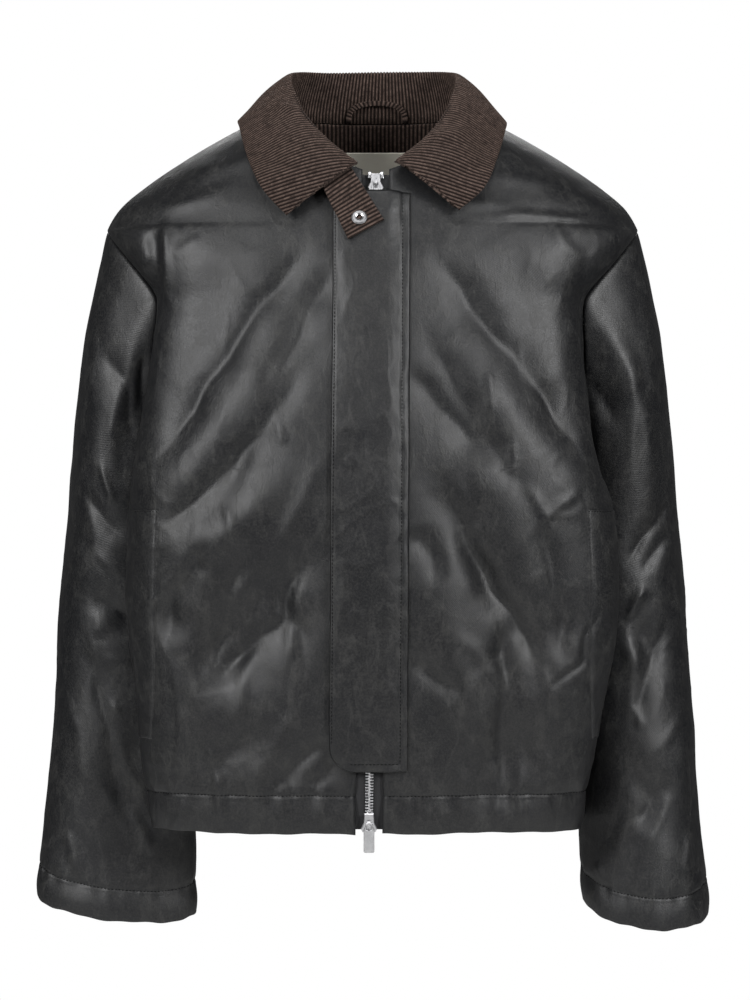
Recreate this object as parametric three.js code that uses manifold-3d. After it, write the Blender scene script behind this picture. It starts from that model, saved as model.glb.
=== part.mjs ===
// A waist-length waxed cotton jacket, worn shape, hollow, held at the neck.
// Units are millimetres. +Z is up, the front faces -Y and +X is the wearer's left.
// The origin lies midway between the two points where the shoulder seams meet the collar.
import * as THREE from "three";
import { mergeVertices } from "three/addons/utils/BufferGeometryUtils.js";
import Module from "manifold-3d";

// Levels of the body
const HEM_Z = -657;
const HEM_BAND = 34;
const UNDERARM_Z = -330;
const TIP_Z = -107;
const NECK_FRONT_Z = -60;

// Cloth
const CLOTH = 2.5;
const CORD_CLOTH = 2.6;
const SEAM_GAP = 0.36;
const HEM_PUFF = 1.6;

// Front closure
const OPENING_HALF = 12;
const ZIP_TOP_X = 3;
const ZIP_BOTTOM_X = -3;
const ZIP_TOP_Z = -64;
const ZIP_BOTTOM_Z = -640;
const CHAIN_WIDTH = 7.2;
const CHAIN_THICK = 2.4;
const TAPE_THICK = 1.0;
const FLAP_TOP_Z = -82.6;
const FLAP_BOTTOM_Z = -600;
const FLAP_CORNER = 22;
const FLAP_THICK = 2.2;

// A table from one line of names and rows of values.
function table(names, rows) {
  return rows.map((row) => Object.fromEntries(names.split(" ").map((name, k) => [name, row[k]])));
}

// One row for each level of the body, from the neck down.
// right, left: half-widths of the front at its crest, on the wearer's right and left
// crestY: how far the crest lies in front of the side line; front, back: depths at the centre
// sideR, sideL, sideY: where the sides are pressed in by the sleeves
// backX, backY: the back's crest; round: exponent of the section's corners
const BODY = table("z right left crestY front sideR sideL sideY backX backY back round", [
  [0, 92, 92, 0, 64, 92, 92, 0, 92, 0, 86, 2.2],
  [-14, 122, 122, 0, 74, 122, 122, 0, 122, 0, 94, 2.2],
  [-32, 155, 155, 0, 86, 155, 155, 0, 155, 0, 104, 2.2],
  [-51, 186, 186, 0, 95, 186, 186, 0, 186, 0, 112, 2.2],
  [-70, 213, 213, 0, 103, 213, 213, 0, 213, 0, 118, 2.2],
  [-88, 234, 234, 0, 110, 234, 234, 0, 234, 0, 123, 2.2],
  [-107, 246, 246, 0, 116, 246, 246, 0, 246, 0, 128, 2.2],
  [-112, 244, 244, 13, 118, 240, 240, 1, 244, 13, 129, 2.2],
  [-122, 237, 237, 27, 121, 232, 232, 2, 237, 27, 131, 2.2],
  [-140, 222, 222, 42, 126, 216, 216, 4, 224, 42, 134, 2.25],
  [-158, 207, 206, 52, 130, 204, 202, 6, 210, 53, 136, 2.3],
  [-176, 197, 194, 60, 134, 194, 192, 9, 202, 60, 138, 2.3],
  [-212, 200, 194, 67, 140, 188, 186, 14, 194, 66, 140, 2.3],
  [-267, 209, 201, 71, 147, 177, 177, 21, 184, 68, 139, 2.3],
  [-330, 217, 210, 73, 151, 167, 170, 26, 177, 67, 136, 2.35],
  [-367, 220, 218, 73, 152, 163, 168, 26, 175, 65, 134, 2.35],
  [-431, 223, 223, 72, 150, 161, 168, 25, 174, 62, 130, 2.35],
  [-485, 220, 220, 70, 145, 160, 170, 24, 174, 60, 126, 2.3],
  [-540, 214, 210, 66, 139, 159, 174, 21, 174, 57, 122, 2.3],
  [-595, 210, 202, 60, 132, 157, 177, 18, 174, 53, 116, 2.25],
  [-657, 202, 191, 51, 123, 153, 176, 14, 172, 48, 110, 2.2],
]);

// Where the armhole seam crosses each level, 1 at the crest and SIDE at the side seam.
const SIDE = 4 / 3;
const ARMHOLE = table("z edge", [
  [-107, 1],
  [-158, 1],
  [-176, 1.01],
  [-212, 1.06],
  [-250, 1.12],
  [-285, 1.18],
  [-314, 1.25],
  [-330, SIDE],
]);

// One row for each level of a sleeve. outer: the same on both sides; inner and depth: right and left.
const SLEEVE = table("z outer innerR innerL midY depthR depthL", [
  [-107, 246, 180, 182, 8, 56, 56],
  [-135, 254, 180, 182, 11, 66, 66],
  [-172, 262, 180, 182, 15, 72, 72],
  [-209, 269, 180, 182, 19, 74, 74],
  [-265, 276, 180, 182, 23, 73, 73],
  [-330, 282.5, 181, 183, 26, 69, 69],
  [-395, 288, 176, 182, 26, 64, 64],
  [-431, 291, 174.5, 182, 26, 61, 61],
  [-488, 295, 173, 184, 25, 58, 60],
  [-544, 298, 172, 187, 22, 54, 58],
  [-600, 301.5, 170, 190, 19, 47, 56],
  [-656, 307, 167, 192, 16, 40, 53],
  [-711, 312, 165, 195, 13, 35, 51],
  [-752, 314, 164, 197, 11, 32, 50],
]);
// The cuff's rim: its middle height, how far its outer side lifts and its front sags.
const CUFF = {
  right: { z: -733, lift: 8, sag: 14 },
  left: { z: -733, lift: -5, sag: 20 },
};
const CUFF_BAND = 29;

// Largest folds of the cloth. On the body a fold runs from one point of the front or back view
// to another (x, z), on a sleeve from one angle and height to another (0 outer, 90 front, 180 inner).
const FOLDS = {
  frontRight: [
    { x0: -48, z0: -129, x1: -198, z1: -349, wide: 17, high: 4 },
    { x0: -38, z0: -158, x1: -190, z1: -411, wide: 18, high: 3.5 },
    { x0: -65, z0: -340, x1: -167, z1: -501, wide: 20, high: 4 },
    { x0: -118, z0: -130, x1: -178, z1: -262, wide: 24, high: -6 },
    { x0: -90, z0: -480, x1: -175, z1: -600, wide: 22, high: -4 },
  ],
  frontLeft: [
    { x0: 42, z0: -126, x1: 203, z1: -376, wide: 17, high: 4 },
    { x0: 38, z0: -287, x1: 167, z1: -447, wide: 20, high: 4 },
    { x0: 51, z0: -411, x1: 114, z1: -590, wide: 20, high: 3.5 },
    { x0: 112, z0: -125, x1: 172, z1: -255, wide: 24, high: -6 },
    { x0: 120, z0: -430, x1: 178, z1: -560, wide: 22, high: -4 },
  ],
  back: [
    { x0: -70, z0: -150, x1: -176, z1: -330, wide: 22, high: -5 },
    { x0: 64, z0: -160, x1: 172, z1: -350, wide: 22, high: -5 },
    { x0: -40, z0: -330, x1: -150, z1: -520, wide: 24, high: 4 },
    { x0: 50, z0: -350, x1: 140, z1: -540, wide: 24, high: 4 },
    { x0: -10, z0: -420, x1: 20, z1: -600, wide: 26, high: -4 },
  ],
  sleeveRight: [
    { a0: 30, z0: -395, a1: 150, z1: -425, wide: 17, high: -5 },
    { a0: 20, z0: -470, a1: 140, z1: -445, wide: 18, high: -4.5 },
    { a0: 40, z0: -560, a1: 130, z1: -520, wide: 20, high: -4 },
    { a0: 200, z0: -430, a1: 330, z1: -470, wide: 18, high: -4.5 },
    { a0: 60, z0: -215, a1: 100, z1: -330, wide: 18, high: -5 },
  ],
  sleeveLeft: [
    { a0: 25, z0: -430, a1: 150, z1: -400, wide: 17, high: -5 },
    { a0: 30, z0: -480, a1: 140, z1: -500, wide: 18, high: -5 },
    { a0: 35, z0: -540, a1: 140, z1: -585, wide: 19, high: -4 },
    { a0: 200, z0: -455, a1: 330, z1: -420, wide: 18, high: -4.5 },
    { a0: 60, z0: -215, a1: 100, z1: -330, wide: 18, high: -5 },
  ],
};

// The collar, one row for each station from the wearer's right front end round the back to the left.
// seam: place on the neckline, from 0 at the centre of the front or back to 1 at the shoulder
// fold: top of the roll; edge: outer edge of the fall; turn: the way it faces, in degrees
const COLLAR = table("face side seam fold edge turn", [
  [-1, -1, 0.06, [-13, -114, -56], [-77, -122, -103], -22],
  [-1, -1, 0.2, [-40, -98, -33], [-98, -114, -80], -35],
  [-1, -1, 0.42, [-60, -70, -9], [-112, -88, -52], -55],
  [-1, -1, 0.7, [-72, -38, 17], [-122, -46, -18], -76],
  [-1, -1, 1, [-76, -4, 36], [-124, 3, -6], -98],
  [1, -1, 0.66, [-68, 36, 44], [-110, 60, -9], -126],
  [1, -1, 0.33, [-40, 66, 47], [-66, 103, -20], -152],
  [1, 1, 0, [2, 76, 49], [2, 119, -26], -180],
  [1, 1, 0.33, [42, 66, 48], [68, 103, -20], -208],
  [1, 1, 0.66, [70, 36, 44], [111, 60, -9], -234],
  [-1, 1, 1, [78, -4, 36], [124, 3, -6], -262],
  [-1, 1, 0.7, [75, -38, 17], [122, -46, -19], -284],
  [-1, 1, 0.42, [64, -70, -9], [112, -88, -52], -305],
  [-1, 1, 0.2, [46, -95, -32], [100, -112, -78], -325],
  [-1, 1, 0.09, [21, -110, -53], [78, -121, -98], -338],
]);

// Throat tab: corners in the front view, from its root under the collar to its free end
const TAB = {
  root: [[-44.5, -80], [-19.5, -62]],
  end: [[-21.5, -128.5], [10.5, -111]],
  lift: 9.2,
};
const RING = { x: -11.6, z: -110, outer: 7, hole: 2.5, thick: 1.5 };

// Pocket welts: the inner line of each, top to bottom, and how far round the side they go
const WELT = { topZ: -366, bottomZ: -575, innerTop: 190, innerBottom: 199, thick: 1.8, lift: 0.8 };
const WELT_COLS = { first: 0.59, last: 0.86 };

// Neck facing: depth at the centre back and how much of it is lost at the ends, half its width
const FACING = { depth: 52, shorter: 0.45, half: 78, off: 0.9, thick: 1.4 };
const LABEL = { x: 4, width: 58, top: -26, bottom: -50, thick: 0.8, lift: 1.3 };
const LOOP = { half: 29.5, rise: 21, band: 5, thick: 1.8, footZ: 1.2, off: 5.1, lean: 2.5 };

// The storm flap's stand-off: at its seam, over the zip, more over the upper pull, and its slope
const FLAP_OFF = { seam: 0.35, zip: 2.6, pull: 3.7, slope: 22 };
const FOLD_END = 0.35;
const SLEEVE_RADIUS = 60;

const FRONT = -1;
const BACK = 1;

const rad = THREE.MathUtils.degToRad;
const mix = THREE.MathUtils.lerp;
const soft = (x) => THREE.MathUtils.smoothstep(x, 0, 1);
const span = (n, from = 0, to = 1) => Array.from({ length: n + 1 }, (_, i) => mix(from, to, i / n));

// A smooth curve through one column of a table whose rows run down in z.
function column(table, name, z) {
  const last = table.length - 1;
  const at = Math.min(Math.max(z, table[last].z), table[0].z);
  let i = 0;
  while (i < last - 1 && table[i + 1].z > at) i += 1;
  const slope = (k) => {
    const a = table[Math.max(k - 1, 0)];
    const b = table[Math.min(k + 1, last)];
    return (b[name] - a[name]) / (b.z - a.z);
  };
  const low = table[i];
  const high = table[i + 1];
  const step = high.z - low.z;
  const t = (at - low.z) / step;
  const keep = 1 - soft(t);
  const startPart = low[name] * keep + slope(i) * step * t * (1 - t) ** 2;
  const endPart = high[name] * soft(t) - slope(i + 1) * step * t * t * (1 - t);
  return startPart + endPart;
}

// Half-width of the front or back at its crest.
function crestX(face, side, z) {
  if (face === BACK) return column(BODY, "backX", z);
  return column(BODY, side < 0 ? "right" : "left", z);
}

// Distance along a section for a given half-distance from the centre line.
function alongAt(face, side, x, z) {
  const round = column(BODY, "round", z);
  return (Math.asin((x / crestX(face, side, z)) ** (round / 2)) * 2) / Math.PI;
}

// A point of the body's section: 0 centre, 1 crest, SIDE side seam.
function section(face, side, along, z) {
  const round = column(BODY, "round", z);
  const wide = crestX(face, side, z);
  const crest = column(BODY, face === FRONT ? "crestY" : "backY", z);
  const deep = column(BODY, face === FRONT ? "front" : "back", z);
  if (along <= 1) {
    const turn = (Math.max(along, 0) * Math.PI) / 2;
    const x = wide * Math.sin(turn) ** (2 / round);
    const y = crest + (deep - crest) * Math.max(Math.cos(turn), 0) ** (2 / round);
    return new THREE.Vector3(side * x, face * y, z);
  }
  const t = Math.min((along - 1) / (SIDE - 1), 1);
  const pressed = column(BODY, side < 0 ? "sideR" : "sideL", z);
  const middle = column(BODY, "sideY", z);
  return new THREE.Vector3(side * mix(wide, pressed, soft(t)), mix(face * crest, middle, t), z);
}

// Rows: 0 hem to 1 underarm to 2 shoulder tip to 3 neckline.
function levelZ(face, level, s) {
  if (level <= 1) return mix(HEM_Z, UNDERARM_Z, level);
  if (level <= 2) return mix(UNDERARM_Z, TIP_Z, (1 - Math.cos(Math.PI * (level - 1))) / 2);
  const neck = face === FRONT ? NECK_FRONT_Z * (1 - s) ** 2.2 : 0;
  return mix(TIP_Z, neck, level - 2);
}

function edgeAlong(z) {
  if (z <= UNDERARM_Z) return SIDE;
  return z >= TIP_Z ? 1 : column(ARMHOLE, "edge", z);
}

// Centre of the zip at a height.
function zipX(z) {
  return mix(ZIP_TOP_X, ZIP_BOTTOM_X, (ZIP_TOP_Z - z) / (ZIP_TOP_Z - ZIP_BOTTOM_Z));
}

// Sum of the folds at a place of a view, each fading out along its length.
function foldHeight(folds, x, z, keys) {
  let sum = 0;
  for (const fold of folds) {
    const dx = fold[keys[1]] - fold[keys[0]];
    const dz = fold.z1 - fold.z0;
    const scale = keys[2];
    const long2 = (dx * scale) ** 2 + dz ** 2;
    const t = ((x - fold[keys[0]]) * dx * scale ** 2 + (z - fold.z0) * dz) / long2;
    const k = Math.min(Math.max(t, 0), 1);
    const offX = (x - fold[keys[0]] - k * dx) * scale;
    const offZ = z - fold.z0 - k * dz;
    const fade = mix(FOLD_END, 1, Math.sin(Math.PI * k));
    sum += fold.high * fade * Math.exp(-(offX ** 2 + offZ ** 2) / fold.wide ** 2);
  }
  return sum;
}

const inArmhole = (level) => level > 1.001 && level < 1.999;

// A panel's bare surface. Past its side edge it carries on into the panel that it is sewn to.
function panelPoint(face, side, s, level) {
  if (s > 1) {
    if (!inArmhole(level)) return panelPoint(-face, side, 2 - s, level);
    return panelPoint(face, side, 1, level).multiplyScalar(2).sub(panelPoint(face, side, 2 - s, level));
  }
  const z = levelZ(face, level, Math.max(s, 0));
  const start = face === FRONT ? alongAt(face, side, OPENING_HALF + side * zipX(z), z) : 0;
  return section(face, side, mix(start, edgeAlong(z), s), z);
}

// Outward direction of a surface from points close by.
function facing(point, u, v, du, dv, sign) {
  const across = point(u + du, v).sub(point(u - du, v));
  const up = point(u, Math.min(v + dv, point.vMax ?? Infinity)).sub(point(u, v - dv));
  return across.cross(up).normalize().multiplyScalar(sign);
}

function bodyFacing(face, side, s, level) {
  const at = (u, v) => panelPoint(face, side, Math.max(u, 0), Math.max(v, 0));
  at.vMax = 3;
  return facing(at, s, level, 0.02, 0.02, -face * side);
}

// Hem and cuff bands stand out a little under their stitch line.
function bandPuff(above, band) {
  if (above > band + 8) return 0;
  if (above > band) return -HEM_PUFF * 0.5 * (1 - (above - band) / 8);
  return HEM_PUFF * Math.sin(Math.PI * Math.min(above / band + 0.12, 1)) - 0.4;
}

// Where the sleeve leaves the body, angle 0 at the shoulder tip, 180 under the arm.
function armholePoint(side, angle) {
  const face = angle <= 180 ? FRONT : BACK;
  const level = 2 - (angle <= 180 ? angle : 360 - angle) / 180;
  return { face, level, point: panelPoint(face, side, 1, level) };
}

// A sleeve's bare surface: angle round it, v from the armhole to the cuff.
function sleevePoint(side, angle, v) {
  const turn = rad(angle);
  const start = armholePoint(side, ((angle % 360) + 360) % 360).point;
  const cuff = side < 0 ? CUFF.right : CUFF.left;
  const end = cuff.z + cuff.lift * Math.cos(turn) - cuff.sag * Math.sin(turn);
  const ring = (z) => {
    const outer = column(SLEEVE, "outer", z);
    const inner = column(SLEEVE, side < 0 ? "innerR" : "innerL", z);
    const deep = column(SLEEVE, side < 0 ? "depthR" : "depthL", z);
    const x = (outer + inner) / 2 + ((outer - inner) / 2) * Math.cos(turn);
    return new THREE.Vector3(side * x, column(SLEEVE, "midY", z) - deep * Math.sin(turn), z);
  };
  const z = mix(start.z, end, v);
  const away = start.clone().sub(ring(start.z));
  return ring(z).add(away.multiplyScalar(Math.max(1 - v / 0.25, 0) ** 2));
}

function sleeveFacing(side, angle, v) {
  const at = (u, w) => sleevePoint(side, u, Math.max(w, 0));
  at.vMax = 1;
  return facing(at, angle, v, 2, 0.01, side);
}

// Both walls of an armhole seam are cut along one direction, out, and parted along another, apart.
// Under the arm the two walls run side by side, so there the cut follows their length.
function seamCut(side, angle) {
  const { face, level, point } = armholePoint(side, angle);
  const bodyOut = bodyFacing(face, side, 1, level);
  const sleeveOut = sleeveFacing(side, angle, 0);
  const intoBody = panelPoint(face, side, 0.98, level).sub(point).normalize();
  if (level < 1.2) intoBody.lerp(new THREE.Vector3(0, 0, -1), (1.2 - level) * 5).normalize();
  const intoSleeve = sleevePoint(side, angle, 0.02).sub(point).normalize();
  const beside = Math.max(-bodyOut.dot(sleeveOut), 0);
  const out = bodyOut.clone().add(sleeveOut).addScaledVector(intoBody.clone().add(intoSleeve), beside);
  const apart = intoSleeve.clone().sub(intoBody).addScaledVector(bodyOut.sub(sleeveOut), beside);
  return { out: out.normalize(), apart: apart.normalize() };
}

// A closed wall from an outer grid of points, an inner one under it and rims.
// place(u, v) gives { outer, inner, fixed }; a loop joins its last column to its first.
// Rims draw back by the gap, apart from their fixed points.
function wall(name, material, us, vs, place, loop = false, gap = SEAM_GAP / 2) {
  const cols = us.length;
  const rows = vs.length;
  const grid = us.map((u) => vs.map((v) => place(u, v)));
  const pull = (layer) => {
    const moved = grid.map((line) => line.map((p) => p[layer].clone()));
    const towards = (i, j, k, l) => {
      if (grid[i][j].fixed) return;
      const step = grid[k][l][layer].clone().sub(grid[i][j][layer]).setLength(gap);
      moved[i][j].add(step);
    };
    for (let i = 0; i < cols; i += 1) {
      towards(i, 0, i, 1);
      towards(i, rows - 1, i, rows - 2);
    }
    for (let j = 0; j < rows && !loop; j += 1) {
      towards(0, j, 1, j);
      towards(cols - 1, j, cols - 2, j);
    }
    return moved;
  };
  const layers = [pull("outer"), pull("inner")];
  const index = (layer, i, j) => (layer * cols + (i % cols)) * rows + j;
  const points = layers.flat(2).flatMap((p) => [p.x, p.y, p.z]);
  const faces = [];
  const quad = (a, b, c, d) => faces.push(a, b, c, a, c, d);
  const wide = loop ? cols : cols - 1;
  for (let i = 0; i < wide; i += 1) {
    for (let j = 0; j < rows - 1; j += 1) {
      quad(index(0, i, j), index(0, i + 1, j), index(0, i + 1, j + 1), index(0, i, j + 1));
      quad(index(1, i, j), index(1, i, j + 1), index(1, i + 1, j + 1), index(1, i + 1, j));
    }
    quad(index(1, i, 0), index(1, i + 1, 0), index(0, i + 1, 0), index(0, i, 0));
    quad(index(0, i, rows - 1), index(0, i + 1, rows - 1), index(1, i + 1, rows - 1), index(1, i, rows - 1));
  }
  for (let j = 0; j < rows - 1 && !loop; j += 1) {
    quad(index(0, 0, j), index(0, 0, j + 1), index(1, 0, j + 1), index(1, 0, j));
    quad(index(0, cols - 1, j), index(1, cols - 1, j), index(1, cols - 1, j + 1), index(0, cols - 1, j + 1));
  }
  return meshOf(name, material, points, faces);
}

// A mesh whose faces point out, whichever way round its grid was laid.
function meshOf(name, material, points, faces) {
  const corner = (k) => new THREE.Vector3(...points.slice(3 * k, 3 * k + 3));
  let volume = 0;
  for (let k = 0; k < faces.length; k += 3) {
    const [a, b, c] = [faces[k], faces[k + 1], faces[k + 2]].map(corner);
    volume += a.dot(b.cross(c));
  }
  if (volume < 0) faces.reverse();
  const geometry = new THREE.BufferGeometry();
  geometry.setAttribute("position", new THREE.Float32BufferAttribute(points, 3));
  geometry.setIndex(faces);
  geometry.computeVertexNormals();
  const mesh = new THREE.Mesh(geometry, material);
  mesh.name = name;
  return mesh;
}

const materials = {
  waxed: new THREE.MeshStandardMaterial({ color: 0x2d2e31, roughness: 0.45, metalness: 0 }),
  corduroy: new THREE.MeshStandardMaterial({ color: 0x4b3a32, roughness: 0.95, metalness: 0 }),
  metal: new THREE.MeshStandardMaterial({ color: 0xc9c9cc, roughness: 0.25, metalness: 1 }),
  tape: new THREE.MeshStandardMaterial({ color: 0x141416, roughness: 0.9, metalness: 0 }),
  label: new THREE.MeshStandardMaterial({ color: 0xcfc4ae, roughness: 0.9, metalness: 0 }),
};

// Height of the folds at a point of a body panel, none at its seams and round the neck.
function bodyFold(face, side, s, point) {
  const frontFolds = side < 0 ? FOLDS.frontRight : FOLDS.frontLeft;
  const folds = face === FRONT ? frontFolds : FOLDS.back;
  const atCentre = face === FRONT ? soft(s / 0.25) : 1;
  const calm = atCentre * soft((1 - s) / 0.1) * soft((-70 - point.z) / 45);
  return calm * foldHeight(folds, point.x, point.z, ["x0", "x1", 1]);
}

// A body panel's wall with its folds and hem band. At the armhole it ends in the seam's cut.
function panelPlace(face, side, s, level) {
  const point = panelPoint(face, side, s, level);
  if (s < 1 || level < 0.999 || level > 2.001) {
    const out = bodyFacing(face, side, s, level);
    const height = bodyFold(face, side, s, point) + bandPuff(point.z - HEM_Z, HEM_BAND);
    const outer = point.clone().addScaledVector(out, height);
    return { outer, inner: outer.clone().addScaledVector(out, -CLOTH) };
  }
  const down = (2 - level) * 180;
  const cut = seamCut(side, face === FRONT ? down : 360 - down);
  const outer = point.clone().addScaledVector(cut.apart, -SEAM_GAP / 2);
  return { outer, inner: outer.clone().addScaledVector(cut.out, -CLOTH), fixed: inArmhole(level) };
}

const bodyRows = [0, 0.05, ...span(10, 0.1, 1)];
const armRows = span(10, 1, 2);
const neckRows = span(6, 2, 3);
const levels = [...bodyRows, ...armRows.slice(1), ...neckRows.slice(1)];
const CREST_COL = 0.75;
const frontCols = [...span(10, 0, CREST_COL), ...span(5, CREST_COL, 1).slice(1)];

function frontPanel(name, side) {
  return wall(name, materials.waxed, frontCols, levels, (s, level) => panelPlace(FRONT, side, s, level));
}

function backPanel() {
  const place = (s, level) => panelPlace(BACK, s < 0 ? -1 : 1, Math.abs(s), level);
  const right = [...span(5, -1, -0.75), ...span(8, -0.75, 0).slice(1)];
  const cols = [...right, ...right.slice(0, -1).map((s) => -s).reverse()];
  return wall("back", materials.waxed, cols, levels, place);
}

function sleeve(name, side) {
  const folds = side < 0 ? FOLDS.sleeveRight : FOLDS.sleeveLeft;
  const place = (angle, v) => {
    const point = sleevePoint(side, angle, v);
    if (v === 0) {
      const cut = seamCut(side, angle);
      point.addScaledVector(cut.apart, SEAM_GAP / 2);
      return { outer: point, inner: point.clone().addScaledVector(cut.out, -CLOTH), fixed: true };
    }
    const out = sleeveFacing(side, angle, v);
    const calm = soft(Math.min(v / 0.12, 1));
    const cuff = sleevePoint(side, angle, 1).z;
    const fold = foldHeight(folds, angle, point.z, ["a0", "a1", rad(SLEEVE_RADIUS)]);
    const outer = point.addScaledVector(out, calm * fold + bandPuff(point.z - cuff, CUFF_BAND));
    return { outer, inner: outer.clone().addScaledVector(out, -CLOTH) };
  };
  const rows = [0, 0.03, 0.07, ...span(12, 0.12, 0.93), 0.955, 1];
  return wall(name, materials.waxed, span(20, 0, 360).slice(0, -1), rows, place, true);
}

// A smooth value through the stations of the collar.
function station(u, pick) {
  const place = u * (COLLAR.length - 1);
  const i = Math.min(Math.floor(place), COLLAR.length - 2);
  const at = (k) => pick(COLLAR[Math.min(Math.max(k, 0), COLLAR.length - 1)]);
  const t = place - i;
  const [a, b, c, d] = [at(i - 1), at(i), at(i + 1), at(i + 2)];
  const curve = 2 * a - 5 * b + 4 * c - d + (3 * b - a - 3 * c + d) * t;
  return b + 0.5 * t * (c - a + t * curve);
}

// The collar's visible side: w 0 to 1 up the stand, 1 to 2 down the fall.
function collarPoint(u, w) {
  const vector = (pick) => new THREE.Vector3(...[0, 1, 2].map((k) => station(u, (row) => pick(row)[k])));
  const seam = vector((row) => panelPoint(row.face, row.side, row.seam, 3).toArray());
  const fold = vector((row) => row.fold);
  const edge = vector((row) => row.edge);
  const turn = rad(station(u, (row) => row.turn));
  const out = new THREE.Vector3(Math.sin(turn), -Math.cos(turn), 0);
  const start = seam.clone().addScaledVector(out, -CORD_CLOTH - 0.2).add(new THREE.Vector3(0, 0, 0.5));
  const rise = start.distanceTo(fold);
  if (w <= 1) {
    const low = start.clone().add(new THREE.Vector3(0, 0, rise * 0.45));
    const high = fold.clone().addScaledVector(out, -Math.min(5, rise * 0.4));
    return new THREE.CubicBezierCurve3(start, low, high, fold).getPoint(w);
  }
  const fall = fold.distanceTo(edge);
  const over = fold.clone().addScaledVector(out, Math.min(14, fall * 0.2));
  const back = edge.clone().addScaledVector(fold.clone().sub(edge).normalize(), fall * 0.35);
  back.addScaledVector(out, 3).z += 2;
  return new THREE.CubicBezierCurve3(fold, over, back, edge).getPoint(w - 1);
}

function collar() {
  const at = (u, w) => collarPoint(Math.min(Math.max(u, 0), 1), Math.min(Math.max(w, 0), 2));
  const place = (u, w) => {
    const outer = at(u, w);
    return { outer, inner: outer.clone().addScaledVector(facing(at, u, w, 0.01, 0.03, 1), -CORD_CLOTH) };
  };
  const across = [0, 0.3, 0.6, 0.82, 0.94, 1, 1.06, 1.15, 1.3, 1.48, 1.66, 1.84, 2];
  return wall("collar", materials.corduroy, span(48), across, place, false, 0);
}

// A point of the front at a place of the front view, moved out.
function onFront(x, z, lift) {
  const side = x < 0 ? -1 : 1;
  const at = (px, pz) => {
    const pSide = px < 0 ? -1 : 1;
    return section(FRONT, pSide, alongAt(FRONT, pSide, Math.abs(px), pz), pz);
  };
  const out = at(x + 3, z).sub(at(x - 3, z)).cross(at(x, z + 3).sub(at(x, z - 3))).normalize();
  const point = at(x, z);
  const first = alongAt(FRONT, side, OPENING_HALF + side * zipX(z), z);
  const s = Math.max((alongAt(FRONT, side, Math.abs(x), z) - first) / (edgeAlong(z) - first), 0);
  return point.addScaledVector(out, lift + bodyFold(FRONT, side, s, point));
}

// A strip that lies on the front, between two lines that run down it.
function strip(name, material, lines, zs, lift, thick, cols = 4) {
  const place = (t, z) => {
    const x = mix(lines[0](z), lines[1](z), t);
    const high = lift(x, z);
    return { outer: onFront(x, z, high + thick), inner: onFront(x, z, high) };
  };
  return wall(name, material, span(cols), zs, place, false, 0);
}

const zipRows = span(22, ZIP_BOTTOM_Z, ZIP_TOP_Z);
const chainLift = -2.2;

function zipChain() {
  const half = CHAIN_WIDTH / 2;
  const lines = [(z) => zipX(z) - half, (z) => zipX(z) + half];
  return strip("zip_chain", materials.metal, lines, zipRows, () => chainLift, CHAIN_THICK, 2);
}

function zipTape(name, side) {
  const inner = CHAIN_WIDTH / 2 + 0.3;
  const outer = OPENING_HALF - 0.5;
  const lines = [(z) => zipX(z) + side * inner, (z) => zipX(z) + side * outer];
  const rows = [HEM_Z + 4, ...zipRows.slice(1)];
  return strip(name, materials.tape, lines, rows, () => chainLift + 0.7, TAPE_THICK, 2);
}

// The storm flap is sewn down along the wearer's left edge and stands off the zip elsewhere.
function flapLift(x, z) {
  const fromSeam = Math.min(Math.max((flapRight(z) - x) / FLAP_OFF.slope, 0), 1);
  const overZip = FLAP_OFF.zip + FLAP_OFF.pull * soft(Math.max(1.15 - (FLAP_TOP_Z - z) / 60, 0));
  return FLAP_OFF.seam + overZip * soft(fromSeam);
}
const flapDown = (z) => (FLAP_TOP_Z - z) / (FLAP_TOP_Z - FLAP_BOTTOM_Z);
const flapLeft = (z) => mix(-35, -38.6, flapDown(z));
const flapRight = (z) => mix(34.2, 31.5, flapDown(z));

function stormFlap() {
  const cornerTop = FLAP_BOTTOM_Z + FLAP_CORNER;
  const left = (z) => {
    const into = Math.max(cornerTop - z, 0) / FLAP_CORNER;
    return flapLeft(z) + FLAP_CORNER * (1 - Math.sqrt(Math.max(1 - into ** 2, 0)));
  };
  const round = span(5, 0, 90).map((a) => cornerTop - FLAP_CORNER * Math.sin(rad(a)));
  const zs = [...round.reverse(), ...span(20, cornerTop, FLAP_TOP_Z).slice(1)];
  return strip("storm_flap", materials.waxed, [left, flapRight], zs, flapLift, FLAP_THICK, 7);
}

// A point of a front panel's facets: s and level fall in one of its cells, moved out by lift.
function onPanel(side, s, level, lift) {
  const before = (list, value) => Math.max(list.findLastIndex((v) => v <= value + 1e-9), 0);
  const i = Math.min(before(frontCols, s), frontCols.length - 2);
  const j = Math.min(before(levels, level), levels.length - 2);
  const p = (s - frontCols[i]) / (frontCols[i + 1] - frontCols[i]);
  const q = (level - levels[j]) / (levels[j + 1] - levels[j]);
  const at = (k, l) => panelPlace(FRONT, side, frontCols[k], levels[l]).outer;
  const [a, b, c, d] = [at(i, j), at(i + 1, j), at(i + 1, j + 1), at(i, j + 1)];
  const flat = p >= q ? [b.clone().sub(a), c.clone().sub(b)] : [c.clone().sub(d), d.clone().sub(a)];
  const point = a.addScaledVector(flat[0], p).addScaledVector(flat[1], q);
  return point.addScaledVector(bodyFacing(FRONT, side, s, level), lift);
}

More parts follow.
